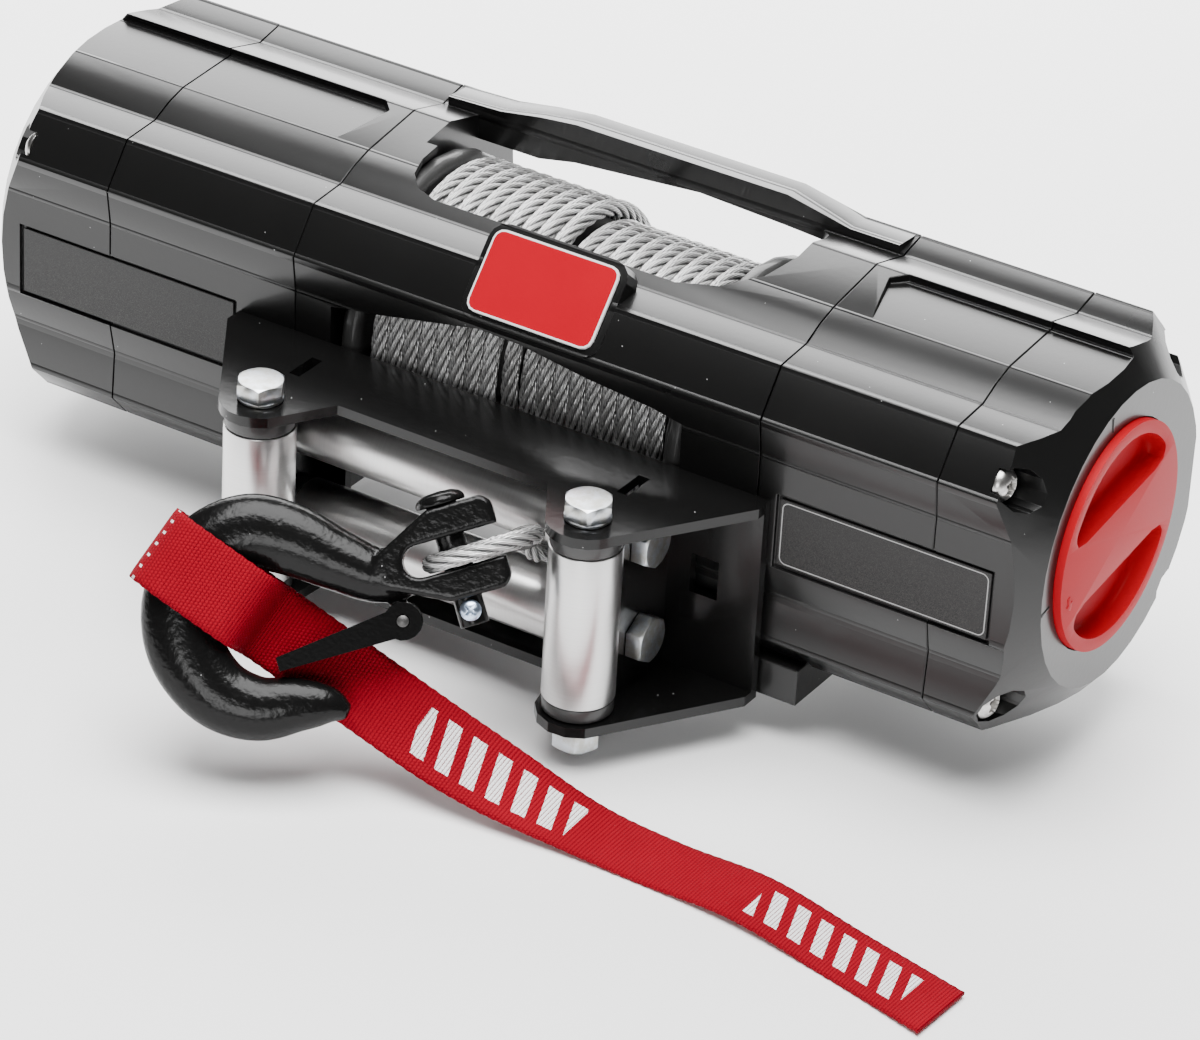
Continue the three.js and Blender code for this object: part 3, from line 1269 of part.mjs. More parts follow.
// Rope eye: a closed loop of rope round the clevis pin, which bends back into the ferrule.
const eyeRadius = clevisPinRadius + ropeDiameter / 2 + running;
const ferruleX = 23.4;
const ferruleZ = -15;
const legHalf = 3.3;
const ropeSides = 8;
const eyeSideShare = 0.74; // the loop's points beside the pin, of its radius
const eyeDropShare = 0.68;
const eyeRoute = [
  // x and z in the hook's frame, from the ferrule round the pin and back
  [ferruleX + legHalf, ferruleZ], [ferruleX + legHalf, -12], [27.4, -6], [22.4, 3], [13.4, 8], [0, eyeRadius],
  [-eyeRadius * eyeSideShare, eyeRadius * eyeDropShare], [-eyeRadius, 0],
  [-eyeRadius * eyeSideShare, -eyeRadius * eyeDropShare], [0, -eyeRadius], [9.4, -8.9],
  [18.4, -10.5], [ferruleX - legHalf, -13], [ferruleX - legHalf, ferruleZ],
];
const ropeGroup = new THREE.Group();
ropeGroup.position.copy(hookGroup.position);
ropeGroup.quaternion.copy(hookGroup.quaternion);
winch.add(ropeGroup);
function ropeEye() {
  const places = eyeRoute.map(([x, z]) => new THREE.Vector3(x, 0, z));
  const curve = new THREE.CatmullRomCurve3(places, false, "centripetal");
  const points = curve.getSpacedPoints(22);
  for (const point of points) point.up = unitY;
  return tubeAlong(points, ropeDiameter / 2, ropeSides);
}
add("rope_eye", ropeEye(), wireRope(), ropeGroup);

const ferruleLength = 9;
const ferruleWall = 0.9;
const ferruleGap = 1.2; // below the ends of the eye
function ropeFerrule() {
  const halfX = legHalf + ropeDiameter / 2 + ferruleWall;
  const halfY = ropeDiameter / 2 + ferruleWall;
  const points = ringPoints(1, 20).map(([a, b]) => [ferruleX + a * halfX, b * halfY]);
  const top = ferruleZ - ferruleGap;
  return alongZ(points, top - ferruleLength, top);
}
add("rope_ferrule", ropeFerrule(), darkIron(), ropeGroup);

// Free rope: from the ferrule, under the upper roller, to the underside of the drum.
const leadGap = 3.4; // the lead starts a little below the ferrule
const leadStart = new THREE.Vector3(ferruleX, 0, ferruleZ - leadGap - ferruleLength);
leadStart.applyQuaternion(ropeGroup.quaternion).add(pinPlace);
// x, and y and z from the upper roller's axis, where the rope bends under it
const roundRoller = [
  [36.2, -15.5, -6.2], [37, -12.9, -10.6], [37, -9.1, -13.9], [36.8, -4.5, -16], [36.3, 0, -16.6],
  [35.3, 6.5, -18.1], [34, 14.5, -20.9],
];
// x and y, and z from the underside of the winding, where the rope runs in below the drum
const underDrum = lowerLayerRadius + windingDiameter / 2 + fit + ropeDiameter / 2;
const toDrum = [[31, -48, 11.8], [28, -30, 6.5], [25.5, -14.7, 2], [23.8, -2, 0], [22.4, 10, 0.9]];
const leadRoute = [
  leadStart.toArray(),
  ...roundRoller.map(([x, y, z]) => [x, levelY + y, levelUpperZ + z]),
  ...toDrum.map(([x, y, z]) => [x, y, axisHeight - underDrum + z]),
];
function ropeLead() {
  const places = leadRoute.map((p) => new THREE.Vector3(...p));
  const curve = new THREE.CatmullRomCurve3(places, false, "centripetal");
  return tubeAlong(curve.getSpacedPoints(20), ropeDiameter / 2, ropeSides);
}
add("rope_lead", ropeLead(), wireRope());

// Pull strap: webbing that loops round the hook's back, passes behind the tip and lies to one side.
const strapWidth = 28;
const strapThickness = 1.4;
const foldX = -94.6;
const foldY = 31.5;
const strapSlope = THREE.MathUtils.degToRad(-51.4);
// how far along the strap and how far out of the hook's plane, from the under layer's end round the fold
const loopRoute = [
  [70, -11.4], [56, -11.6], [44, -11.6], [30, -11.5], [16, -11], [7, -10], [1.2, -6], [-1.2, 0], [1.2, 6],
  [7, 9.8], [16, 10.6], [26, 10.6], [33, 10], [38, 7], [41.3, 0], [44.6, -7], [50, -9.2], [60, -9.4],
  [74, -9.3], [88, -9.4],
];
// the free end: x, y out from the bracket's face, z and the way its width points
const tailRoute = [
  [52, -90.4, 0, 2, 11.6, 7.4], [93.5, -84.9, -12.5, 0, 14, 1], [126, -83.9, -15.4, 0, 14, 0],
  [162.5, -85.9, -13.6, 0, 14, 0], [203, -92.9, -15.6, 0, 14, 0], [244.5, -103.4, -14.6, 0.8, 14, 0],
];
function pullStrap() {
  const toWorld = (v) => v.applyQuaternion(hookGroup.quaternion);
  const along = new THREE.Vector3(Math.cos(strapSlope), Math.sin(strapSlope), 0);
  const across = new THREE.Vector3(-along.y, along.x, 0).multiplyScalar(strapWidth / 2);
  const middles = [];
  const halves = [];
  for (const [s, out] of loopRoute) {
    const p = new THREE.Vector3(foldX, foldY, out).addScaledVector(along, s);
    middles.push(toWorld(p).add(pinPlace));
    halves.push(toWorld(across.clone()));
  }
  for (const [x, y, z, a, b, c] of tailRoute) {
    middles.push(new THREE.Vector3(x, bracketFace + y, z));
    halves.push(new THREE.Vector3(a, b, c).setLength(strapWidth / 2));
  }
  const path = new THREE.CatmullRomCurve3(middles, false, "centripetal");
  const sides = new THREE.CatmullRomCurve3(halves, false, "centripetal");
  const perSpan = 2;
  const steps = (middles.length - 1) * perSpan;
  const positions = [];
  const corners = [];
  for (let i = 0; i <= steps; i++) {
    const middle = path.getPoint(i / steps);
    const half = sides.getPoint(i / steps).setLength(strapWidth / 2);
    const heading = path.getTangent(i / steps);
    const normal = new THREE.Vector3().crossVectors(heading, half).setLength(strapThickness / 2);
    for (const [u, v] of [[-1, -1], [1, -1], [1, 1], [-1, 1]]) {
      const p = middle.clone().addScaledVector(half, u).addScaledVector(normal, v);
      positions.push(p.x, p.y, p.z);
    }
  }
  // the two wide faces are split along the same diagonal, so that a twist keeps the webbing's thickness
  const ring = 4;
  for (let i = 0; i < steps; i++) {
    for (let k = 0; k < ring; k++) {
      const next = (k + 1) % ring;
      const [a, b, c, d] = [i * ring + k, i * ring + next, (i + 1) * ring + k, (i + 1) * ring + next];
      if (k === 2) corners.push(a, b, d, a, d, c);
      else corners.push(a, b, c, b, d, c);
    }
  }
  const last = steps * ring;
  corners.push(0, 2, 1, 0, 3, 2, last, last + 1, last + 2, last, last + 2, last + 3);
  return closedMesh(positions, corners);
}
add("pull_strap", pullStrap(), redWebbing());

export default winch;
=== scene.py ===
# An electric power winch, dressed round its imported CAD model. Metres, in the model's own frame:
# the drum lies along X, the rope leaves towards -Y, and the feet stand on Z = 0.
import math

import bpy
import numpy as np
from mathutils import Matrix, Vector


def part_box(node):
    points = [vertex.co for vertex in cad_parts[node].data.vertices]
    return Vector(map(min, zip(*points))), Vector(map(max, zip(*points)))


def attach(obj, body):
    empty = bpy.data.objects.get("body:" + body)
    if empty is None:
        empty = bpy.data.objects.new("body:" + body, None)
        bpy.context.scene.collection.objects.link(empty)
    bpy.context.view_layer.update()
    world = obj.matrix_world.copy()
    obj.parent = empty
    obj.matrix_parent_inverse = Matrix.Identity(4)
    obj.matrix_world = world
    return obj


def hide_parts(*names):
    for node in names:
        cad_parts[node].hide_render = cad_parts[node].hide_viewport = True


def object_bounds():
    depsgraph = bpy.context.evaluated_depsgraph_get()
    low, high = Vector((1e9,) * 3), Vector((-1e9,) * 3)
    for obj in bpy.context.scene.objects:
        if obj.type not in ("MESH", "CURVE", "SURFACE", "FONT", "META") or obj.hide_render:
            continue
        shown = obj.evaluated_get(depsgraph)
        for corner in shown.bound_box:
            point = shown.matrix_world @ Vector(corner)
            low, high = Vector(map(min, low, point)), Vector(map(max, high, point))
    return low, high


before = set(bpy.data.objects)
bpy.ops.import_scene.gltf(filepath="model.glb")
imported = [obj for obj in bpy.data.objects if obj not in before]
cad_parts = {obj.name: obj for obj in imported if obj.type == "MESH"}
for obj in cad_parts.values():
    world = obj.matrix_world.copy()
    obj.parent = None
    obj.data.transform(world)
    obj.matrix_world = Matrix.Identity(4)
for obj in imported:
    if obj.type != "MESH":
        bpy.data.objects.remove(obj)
cad_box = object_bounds()
MM = 0.001

# The camera stands in front of the clutch end and above it, with a long lens,
# as far off as a person who looks at a winch on a bench.
camera_place = Vector((0.8898, -1.4737, 1.0105))
camera_right = Vector((0.8419831, 0.5371921, 0.0498909))
camera_up = Vector((-0.3081222, 0.4029040, 0.8618173))
camera_back = Vector((0.4428602, -0.7410081, 0.5047592))
camera_sensor = 36.0
camera_lens = 166.82
camera = bpy.data.objects.new("camera", bpy.data.cameras.new("camera"))
camera.data.sensor_width = camera_sensor
camera.data.lens = camera_lens
camera_turn = Matrix((camera_right, camera_up, camera_back)).transposed().to_4x4()
camera.matrix_world = Matrix.Translation(camera_place) @ camera_turn
bpy.context.scene.collection.objects.link(camera)
bpy.context.scene.camera = camera


# The free rope: galvanised wire rope, six strands laid round a core. It leaves the underside of
# the drum, runs out between the two level rollers and ends in the ferrule of its own eye.
class Wire:
    """One output of a node. Sums and products of wires and numbers add their own Math nodes."""

    def __init__(self, finish, socket):
        self.finish = finish
        self.socket = socket

    def __add__(self, other):
        return self.finish.math("ADD", self, other)

    def __radd__(self, other):
        return self.finish.math("ADD", other, self)

    def __sub__(self, other):
        return self.finish.math("SUBTRACT", self, other)

    def __rsub__(self, other):
        return self.finish.math("SUBTRACT", other, self)

    def __mul__(self, other):
        return self.finish.math("MULTIPLY", self, other)

    def __rmul__(self, other):
        return self.finish.math("MULTIPLY", other, self)

    def __truediv__(self, other):
        return self.finish.math("DIVIDE", self, other)

    def __gt__(self, other):
        return self.finish.math("GREATER_THAN", self, other)

    def __lt__(self, other):
        return self.finish.math("LESS_THAN", self, other)


class Finish:
    """A material: its shader's fixed values are given by name, and its varying ones are painted on."""

    def __init__(self, name, **fixed):
        self.material = bpy.data.materials.new(name)
        self.material.use_nodes = True
        self.tree = self.material.node_tree
        self.shader = self.tree.nodes["Principled BSDF"]
        for socket, value in fixed.items():
            self.shader.inputs[socket.replace("_", " ")].default_value = value

    def node(self, kind, settings=None, sockets=None, output=0):
        made = self.tree.nodes.new(kind)
        for key, value in (settings or {}).items():
            if key == "stops":
                for at, shade in value:
                    made.color_ramp.elements.new(at).color = (shade, shade, shade, 1)
            else:
                setattr(made, key, value)
        for key, value in (sockets or {}).items():
            if isinstance(value, Wire):
                self.tree.links.new(value.socket, made.inputs[key])
            else:
                made.inputs[key].default_value = value
        return Wire(self, made.outputs[output])

    def math(self, operation, first, second=0.0):
        return self.node("ShaderNodeMath", {"operation": operation}, {0: first, 1: second})

    def place(self, scale=(1, 1, 1)):
        """Object coordinates, stretched."""
        where = self.node("ShaderNodeTexCoord", output="Object")
        return self.node("ShaderNodeMapping", None, {"Vector": where, "Scale": scale})

    def along(self, axis):
        """One of the three object coordinates, in metres."""
        where = self.node("ShaderNodeTexCoord", output="Object")
        return self.node("ShaderNodeSeparateXYZ", None, {0: where}, axis)

    def uv(self, axis):
        """One of the piece's own two surface coordinates."""
        return self.node("ShaderNodeSeparateXYZ", None, {0: self.node("ShaderNodeUVMap")}, axis)

    def noise(self, scale, detail=2.0, stretch=(1, 1, 1), roughness=0.5):
        sockets = {"Vector": self.place(stretch), "Scale": scale, "Detail": detail, "Roughness": roughness}
        return self.node("ShaderNodeTexNoise", None, sockets)

    def cells(self, scale):
        """Distance to the nearest of a scatter of points, in cells."""
        return self.node("ShaderNodeTexVoronoi", None, {"Vector": self.place(), "Scale": scale})

    def between(self, value, low, high):
        """Smooth step of a value from 0 at low to 1 at high."""
        sockets = {"Value": value, "From Min": low, "From Max": high}
        return self.node("ShaderNodeMapRange", {"interpolation_type": "SMOOTHSTEP"}, sockets)

    def wave(self, value):
        """A smooth wave from 0 to 1 with one crest for each whole number of the value."""
        return self.math("COSINE", value * (2 * math.pi)) * 0.5 + 0.5

    def blend(self, factor, first, second):
        """Mixes two colours."""
        return self.node("ShaderNodeMix", {"data_type": "RGBA"}, {0: factor, 6: first, 7: second}, 2)

    def paint(self, socket, value):
        self.tree.links.new(value.socket, self.shader.inputs[socket])

    def bump(self, height, depth, after=None):
        """Raises the surface by height (0 to 1) times depth in metres."""
        sockets = {"Height": height, "Distance": depth, "Strength": 1.0}
        if after:
            sockets["Normal"] = after
        made = self.node("ShaderNodeBump", None, sockets)
        self.paint("Normal", made)
        return made


def grey(level, warmth=0.0):
    """A grey, a little red above it and blue below where it is warm."""
    return (level * (1 + warmth), level, level * (1 - warmth), 1)


def rope_finish(name):
    """Zinc-grey wires: fine lines that cross each strand on the slant, with painted shade in the grooves
    between the strands and between the wires.
    """
    wires_across = 5.0
    crossing = 2.2 * MM
    finish = Finish(name, Metallic=0.85, Specular_IOR_Level=0.5)
    across = finish.uv(0)
    strand = across - finish.math("FLOOR", across)
    groove = finish.between(finish.math("ABSOLUTE", strand - 0.5), 0.26, 0.5)
    wires = finish.wave(strand * wires_across + finish.uv(1) * (1 / crossing))
    stain = finish.noise(90.0, 3.0)
    shade = finish.blend(finish.between(stain, 0.35, 0.7), grey(0.58, 0.01), grey(0.82, 0.0))
    # Painted shade: the hollows between the wires are darkened towards near black.
    shade = finish.blend(finish.between(wires, 0.5, 0.0) * 0.75, shade, grey(0.12))
    # Painted shade: the grooves between the strands are darkened almost to black.
    finish.paint("Base Color", finish.blend(groove * 0.85, shade, grey(0.03)))
    finish.paint("Roughness", 0.30 + stain * 0.18 + groove * 0.25)
    finish.bump(wires, 0.16 * MM)
    return finish.material


def distance_along(points):
    """How far along the line each of its points lies."""
    return np.concatenate([[0], np.cumsum(np.linalg.norm(np.diff(points, axis=0), axis=1))])


def smooth_path(corners, count):
    """Evenly spaced points on a centripetal curve through the corners, as the CAD draws its routes."""
    corners = [np.array(c, float) for c in corners]
    ends = [2 * corners[0] - corners[1]] + corners + [2 * corners[-1] - corners[-2]]
    fine = []
    per_span = 60
    least_step = 1e-9
    for i in range(1, len(ends) - 2):
        before, here, there, after = ends[i - 1 : i + 3]
        spans = ((before, here), (here, there), (there, after))
        first, middle, last = [max(np.linalg.norm((b - a)[:3]), least_step) ** 0.5 for a, b in spans]
        out = (here - before) / first - (there - before) / (first + middle) + (there - here) / middle
        into = (there - here) / middle - (after - here) / (middle + last) + (after - there) / last
        out = out * middle
        into = into * middle
        square = 3 * (there - here) - 2 * out - into
        cube = 2 * (here - there) + out + into
        for t in np.arange(per_span) / per_span:
            fine.append(here + out * t + square * t**2 + cube * t**3)
    fine.append(corners[-1])
    fine = np.array(fine)
    run = distance_along(fine[:, :3])
    even = np.linspace(0, run[-1], count)
    return np.stack([np.interp(even, run, fine[:, k]) for k in range(fine.shape[1])], axis=1)


def carried_frames(points, first_side):
    """A side and an up direction at each point that follow the line without twisting."""
    along = np.gradient(points, axis=0)
    along /= np.linalg.norm(along, axis=1)[:, None]
    side = np.array(first_side, float)
    sides = []
    for direction in along:
        side = side - direction * np.dot(side, direction)
        side /= np.linalg.norm(side)
        sides.append(side)
    sides = np.array(sides)
    return sides, np.cross(along, sides)


def faces_out():
    """Turns every face of the piece in edit mode outwards and leaves edit mode."""
    bpy.ops.mesh.select_all(action="SELECT")
    bpy.ops.mesh.normals_make_consistent(inside=False)
    bpy.ops.object.mode_set(mode="OBJECT")


def grid_piece(name, rings, u, v):
    """A closed skin through rings of points, with a UV map whose seam lies at the first point."""
    count, sides = rings.shape[:2]
    corners = rings.reshape(-1, 3)
    faces = []
    coordinates = []
    for i in range(count - 1):
        for k in range(sides):
            n = (k + 1) % sides
            faces.append((i * sides + k, i * sides + n, (i + 1) * sides + n, (i + 1) * sides + k))
            coordinates += [(u[k], v[i]), (u[k + 1], v[i]), (u[k + 1], v[i + 1]), (u[k], v[i + 1])]
    faces.append(tuple(range(sides - 1, -1, -1)))
    faces.append(tuple((count - 1) * sides + k for k in range(sides)))
    coordinates += [(u[k], v[0]) for k in range(sides - 1, -1, -1)]
    coordinates += [(u[k], v[-1]) for k in range(sides)]
    mesh = bpy.data.meshes.new(name)
    mesh.from_pydata(corners.tolist(), [], faces)
    layer = mesh.uv_layers.new(name="UVMap")
    layer.data.foreach_set("uv", np.array(coordinates, float).ravel())
    piece = bpy.data.objects.new(name, mesh)
    bpy.context.scene.collection.objects.link(piece)
    only(piece)
    bpy.ops.object.mode_set(mode="EDIT")
    faces_out()
    bpy.ops.object.shade_smooth()
    return piece


def only(piece):
    """Selects one piece and makes it active."""
    bpy.ops.object.select_all(action="DESELECT")
    piece.select_set(True)
    bpy.context.view_layer.objects.active = piece


def finished(piece, material, slot, body, *nodes):
    """Gives a piece its finish and its body, and hides the CAD nodes that it stands for. The slot argument is
    not used.
    """
    piece.data.materials.clear()
    piece.data.materials.append(material)
    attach(piece, body)
    if nodes:
        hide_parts(*nodes)


def laid_rope(name, points, diameter, first_side=(1, 0, 0)):
    """Six strands that wind round the line of points, one turn for each lay."""
    strands = 6
    per_strand = 5
    lay = 40 * MM
    run = distance_along(points)
    side, up = carried_frames(points, first_side)
    offset = (np.arange(strands * per_strand) % per_strand) / per_strand - 0.5
    turned_by = offset * (2 * math.pi / strands)
    strand_radius = diameter / 6
    centre_radius = diameter / 3
    past_centre = np.maximum(strand_radius**2 - (centre_radius * np.sin(turned_by)) ** 2, 0)
    reach = centre_radius * np.cos(turned_by) + np.sqrt(past_centre)
    angle = np.arange(strands * per_strand) * (2 * math.pi / (strands * per_strand))
    angle = angle[None, :] + (2 * math.pi / lay) * run[:, None]
    rings = points[:, None, :] + reach[None, :, None] * (
        np.cos(angle)[:, :, None] * side[:, None, :] + np.sin(angle)[:, :, None] * up[:, None, :]
    )
    u = np.arange(strands * per_strand + 1) / per_strand
    return grid_piece(name, rings, u, run)


rope_diameter = 6.4 * MM
hook_towards_rope = Vector((0.7244, 0.6277, 0.2855))
hook_along_pin = Vector((-0.52814, 0.23886, 0.81487))
hook_out_of_flat_side = Vector((0.44339, -0.74085, 0.50453))
hook_turn = Matrix((hook_towards_rope, hook_along_pin, hook_out_of_flat_side)).transposed()
clevis_pin_place = Vector((31.6 * MM, -129.894 * MM, 61 * MM))
hook_place = Matrix.Translation(clevis_pin_place) @ hook_turn.to_4x4()
ferrule_x = 23.4 * MM
ferrule_end_z = -27.4 * MM
lead_start = hook_place @ Vector((ferrule_x, 0, ferrule_end_z))
lead_route = [tuple(lead_start)] + [
    (x * MM, y * MM, z * MM)
    for x, y, z in (
        (36.2, -94, 52.3), (37, -91.4, 47.9), (37, -87.6, 44.6), (36.8, -83, 42.5), (36.3, -78.5, 41.9),
        (35.3, -72, 40.4), (34, -64, 37.6), (31, -48, 32.9), (28, -30, 27.6), (25.5, -14.7, 23.1),
        (23.8, -2, 21.1), (22.4, 10, 22),
    )
]
lead_points = smooth_path(lead_route[::-1], 90)
rope_lead = laid_rope("free_rope", lead_points, rope_diameter)
bright_rope = rope_finish("galvanised_wire_rope")
finished(rope_lead, bright_rope, "wire_rope", "frame", "rope_lead")

# The rope's eye: the end of the same wire rope, bent round the clevis pin and back beside itself.
# Both of its legs end in the ferrule.
leg_half = 3.3 * MM
leg_end = -16.4 * MM
eye_radius = 8.7 * MM
eye_corners = [
    (ferrule_x + leg_half, leg_end), (ferrule_x + leg_half, -12 * MM), (ferrule_x + 1.2 * leg_half, -6 * MM),
    (ferrule_x - 1 * MM, 3 * MM), (ferrule_x - 10 * MM, 8 * MM), (0, eye_radius),
    (-0.74 * eye_radius, 0.68 * eye_radius), (-eye_radius, 0), (-0.74 * eye_radius, -0.68 * eye_radius),
    (0, -eye_radius), (ferrule_x - 14 * MM, -eye_radius - 0.2 * MM), (ferrule_x - 5 * MM, -10.5 * MM),
    (ferrule_x - leg_half, -13 * MM), (ferrule_x - leg_half, leg_end),
]
eye_points = smooth_path([hook_place @ Vector((x, 0, z)) for x, z in eye_corners], 110)
rope_eye = laid_rope("rope_end_eye", eye_points, rope_diameter, tuple(hook_turn @ Vector((0, 1, 0))))
finished(rope_eye, bright_rope, "wire_rope", "frame", "rope_eye")


# The ferrule: a sleeve of dark oiled steel, pressed round both legs of the rope's eye
# until it grips them.
def merged_copy(node, name):
    """A copy of a CAD node with its loose triangles joined and its flat faces whole."""
    piece = bpy.data.objects.new(name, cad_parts[node].data.copy())
    bpy.context.scene.collection.objects.link(piece)
    only(piece)
    bpy.ops.mesh.customdata_custom_splitnormals_clear()
    bpy.ops.object.mode_set(mode="EDIT")
    bpy.ops.mesh.select_all(action="SELECT")
    bpy.ops.mesh.remove_doubles(threshold=0.01 * MM)
    bpy.ops.mesh.dissolve_limited(angle_limit=math.radians(0.6))
    bpy.ops.object.mode_set(mode="OBJECT")
    return piece


def modified(piece, kind, **settings):
    """Adds a modifier and applies it."""
    only(piece)
    made = piece.modifiers.new(kind.lower(), kind)
    for key, value in settings.items():
        setattr(made, key, value)
    bpy.ops.object.modifier_apply(modifier=made.name)


def bevelled(piece, width, segments, angle, **settings):
    """Bevels every edge sharper than the angle, in degrees."""
    limit = {"limit_method": "ANGLE", "angle_limit": math.radians(angle)}
    modified(piece, "BEVEL", width=width, segments=segments, **limit, **settings)


def softened(piece, width, segments=2, angle=12.0):
    """Rounds every edge sharper than the angle and keeps the flat faces flat."""
    only(piece)
    bpy.ops.object.shade_smooth()
    bevelled(piece, width, segments, angle, miter_outer="MITER_ARC")
    modified(piece, "WEIGHTED_NORMAL", weight=60, keep_sharp=False)
    return piece


def dark_steel_finish(name, level=0.05):
    """Oiled dark steel with faint stains."""
    finish = Finish(name, Metallic=0.7)
    stain = finish.noise(160.0, 4.0)
    finish.paint("Base Color", finish.blend(stain, grey(level), grey(level * 1.9, 0.03)))
    finish.paint("Roughness", 0.32 + stain * 0.2)
    finish.bump(finish.noise(1400.0, 2.0), 0.04 * MM)
    return finish.material


dark_steel = dark_steel_finish("dark_steel_oiled")
ferrule = softened(merged_copy("rope_ferrule", "pressed_ferrule"), 0.7 * MM, 3, 30)
finished(ferrule, dark_steel, "dark_steel", "frame", "rope_ferrule")

# The pull strap: red polyester webbing, woven in cross ribs, with plain white bars woven in.
# It loops round the back of the hook, passes behind its tip and lies out to one side.
strap_width = 28 * MM
strap_thickness = 1.4 * MM
fold_x = -94.6
fold_y = 31.5
strap_slope = math.radians(-51.4)
loop_route = (
    (70, -11.4), (56, -11.6), (44, -11.6), (30, -11.5), (16, -11), (7, -10), (1.2, -6), (-1.2, 0),
    (1.2, 6), (7, 9.8), (16, 10.6), (26, 10.6), (33, 10), (38, 7), (41.3, 0), (44.6, -7),
    (50, -9.2), (60, -9.4), (74, -9.3), (88, -9.4),
)
tail_route = (
    ((52, -151.5, 0), (2, 11.6, 7.4)), ((93.5, -146, -12.5), (0, 14, 1)),
    ((126, -145, -15.4), (0, 14, 0)), ((162.5, -147, -13.6), (0, 14, 0)),
    ((203, -154, -15.6), (0, 14, 0)), ((244.5, -164.5, -14.6), (0.8, 14, 0)),
)
strap_corners = []
across_loop = hook_turn @ Vector((-math.sin(strap_slope), math.cos(strap_slope), 0))
for reach, out in loop_route:
    x = fold_x + reach * math.cos(strap_slope)
    y = fold_y + reach * math.sin(strap_slope)
    strap_corners.append([*(hook_place @ (Vector((x, y, out)) * MM)), *across_loop])
for middle, half in tail_route:
    strap_corners.append([*(Vector(middle) * MM), *Vector(half).normalized()])
strap_line = smooth_path(strap_corners, 420)
strap_middle = strap_line[:, :3]
strap_across = strap_line[:, 3:]
strap_across = strap_across / np.linalg.norm(strap_across, axis=1)[:, None]
strap_normal = np.cross(np.gradient(strap_middle, axis=0), strap_across)
strap_normal /= np.linalg.norm(strap_normal, axis=1)[:, None]
strap_run = distance_along(strap_middle)
strap_columns = 14
rib_pitch = 1.3 * MM
edge_trim = 0.2 * MM
edge_thinning = 0.45
shares = np.linspace(-1, 1, strap_columns + 1)
edge_scallop = 0.12 * MM * np.cos(2 * math.pi * strap_run / rib_pitch)
half_thickness = strap_thickness / 2 * np.sqrt(1 - edge_thinning * np.abs(shares) ** 8)
strap_rings = []
for middle, across, normal, scallop in zip(strap_middle, strap_across, strap_normal, edge_scallop):
    half_width = strap_width / 2 - edge_trim + scallop
    level = middle + across * (shares * half_width)[:, None]
    raised = normal * half_thickness[:, None]
    strap_rings.append(np.concatenate([level + raised, (level - raised)[::-1]]))
strap_u = np.concatenate([shares, shares[::-1], shares[:1]]) * strap_width / 2
strap = grid_piece("webbing_strap", np.array(strap_rings), strap_u, strap_run)


def webbing_finish(name, pitch, bars, fold_at):
    """Woven ribs across the strap, staggered floats, white woven bars and the stitches at the fold."""
    warp_pitch = 1.25 * MM
    bar_half_width = 8.5 * MM
    bar_pitch = 10 * MM
    bar_slant = 0.35
    bar_share = 0.55
    stitch_half = 0.9 * MM
    stitch_pitch = 4.6 * MM
    stitch_share = 0.22
    finish = Finish(name, Metallic=0.0, Specular_IOR_Level=0.06)
    across = finish.uv(0)
    run = finish.uv(1)
    row = run / pitch
    odd = finish.math("FLOORED_MODULO", finish.math("FLOOR", row), 2.0)
    rib = finish.math("ABSOLUTE", finish.math("SINE", row * math.pi))
    warp = finish.wave(across / warp_pitch + odd * 0.5)
    height = rib * 0.62 + warp * 0.38
    patch = None
    for low, high in bars:
        part = (run > low) * (run < high)
        patch = part if patch is None else patch + part
    inside = finish.math("ABSOLUTE", across) < bar_half_width
    step = (run + across * bar_slant) / bar_pitch
    bar = (step - finish.math("FLOOR", step)) < bar_share
    white = patch * inside * bar
    speckle = finish.noise(1500.0, 2.0)
    white = white * (rib * 0.8 + speckle * 0.5 > 0.42)
    stitch_row = finish.math("ABSOLUTE", run - fold_at) < stitch_half
    stitch_step = across / stitch_pitch
    stitch = stitch_row * ((stitch_step - finish.math("FLOOR", stitch_step)) < stitch_share)
    red = finish.blend(finish.noise(45.0, 3.0), (0.185, 0.0008, 0.007, 1), (0.26, 0.0014, 0.011, 1))
    shadow = finish.between(height, 0.55, 0.05)
    red = finish.blend(shadow * 0.8, red, (0.09, 0.0, 0.003, 1))
    pale = finish.blend(shadow * 0.8, grey(0.80), (0.35, 0.10, 0.11, 1))
    finish.paint("Base Color", finish.blend(finish.math("MAXIMUM", white, stitch), red, pale))
    finish.paint("Roughness", 0.62 + height * 0.16)
    finish.bump(height, 0.42 * MM)
    return finish.material


fold_run = 82 * MM
bar_patches = ((200 * MM, 263 * MM), (334 * MM, 402 * MM))
webbing = webbing_finish("red_webbing_woven", rib_pitch, bar_patches, fold_run)
finished(strap, webbing, "red_webbing", "hook", "pull_strap")


# The studio: a pale floor just under the lowest point, a wide softbox close behind the winch that
# its upper faces mirror, a strong one overhead, a weak low one in front, and dim air all round.
floor_gap = 0.2 * MM
floor_size = 14
air_strength = 0.07
bpy.ops.object.select_all(action="DESELECT")
bpy.ops.mesh.primitive_plane_add(size=floor_size, location=(0, 0, cad_box[0].z - floor_gap))
floor = bpy.context.object
floor.name = "floor"
floor.data.materials.append(Finish("floor_paper", Base_Color=grey(0.93), Roughness=0.7).material)


def softbox(name, place, target, width, height, power, roll=0.0):
    """A rectangular lamp that looks at its target, turned by its roll in degrees."""
    light = bpy.data.lights.new(name, "AREA")
    light.shape = "RECTANGLE"
    light.size = width
    light.size_y = height
    light.energy = power
    lamp = bpy.data.objects.new(name, light)
    bpy.context.scene.collection.objects.link(lamp)
    lamp.location = place
    facing = (Vector(place) - Vector(target)).to_track_quat("Z", "Y").to_matrix()
    lamp.rotation_euler = (facing @ Matrix.Rotation(math.radians(roll), 3, "Z")).to_euler()


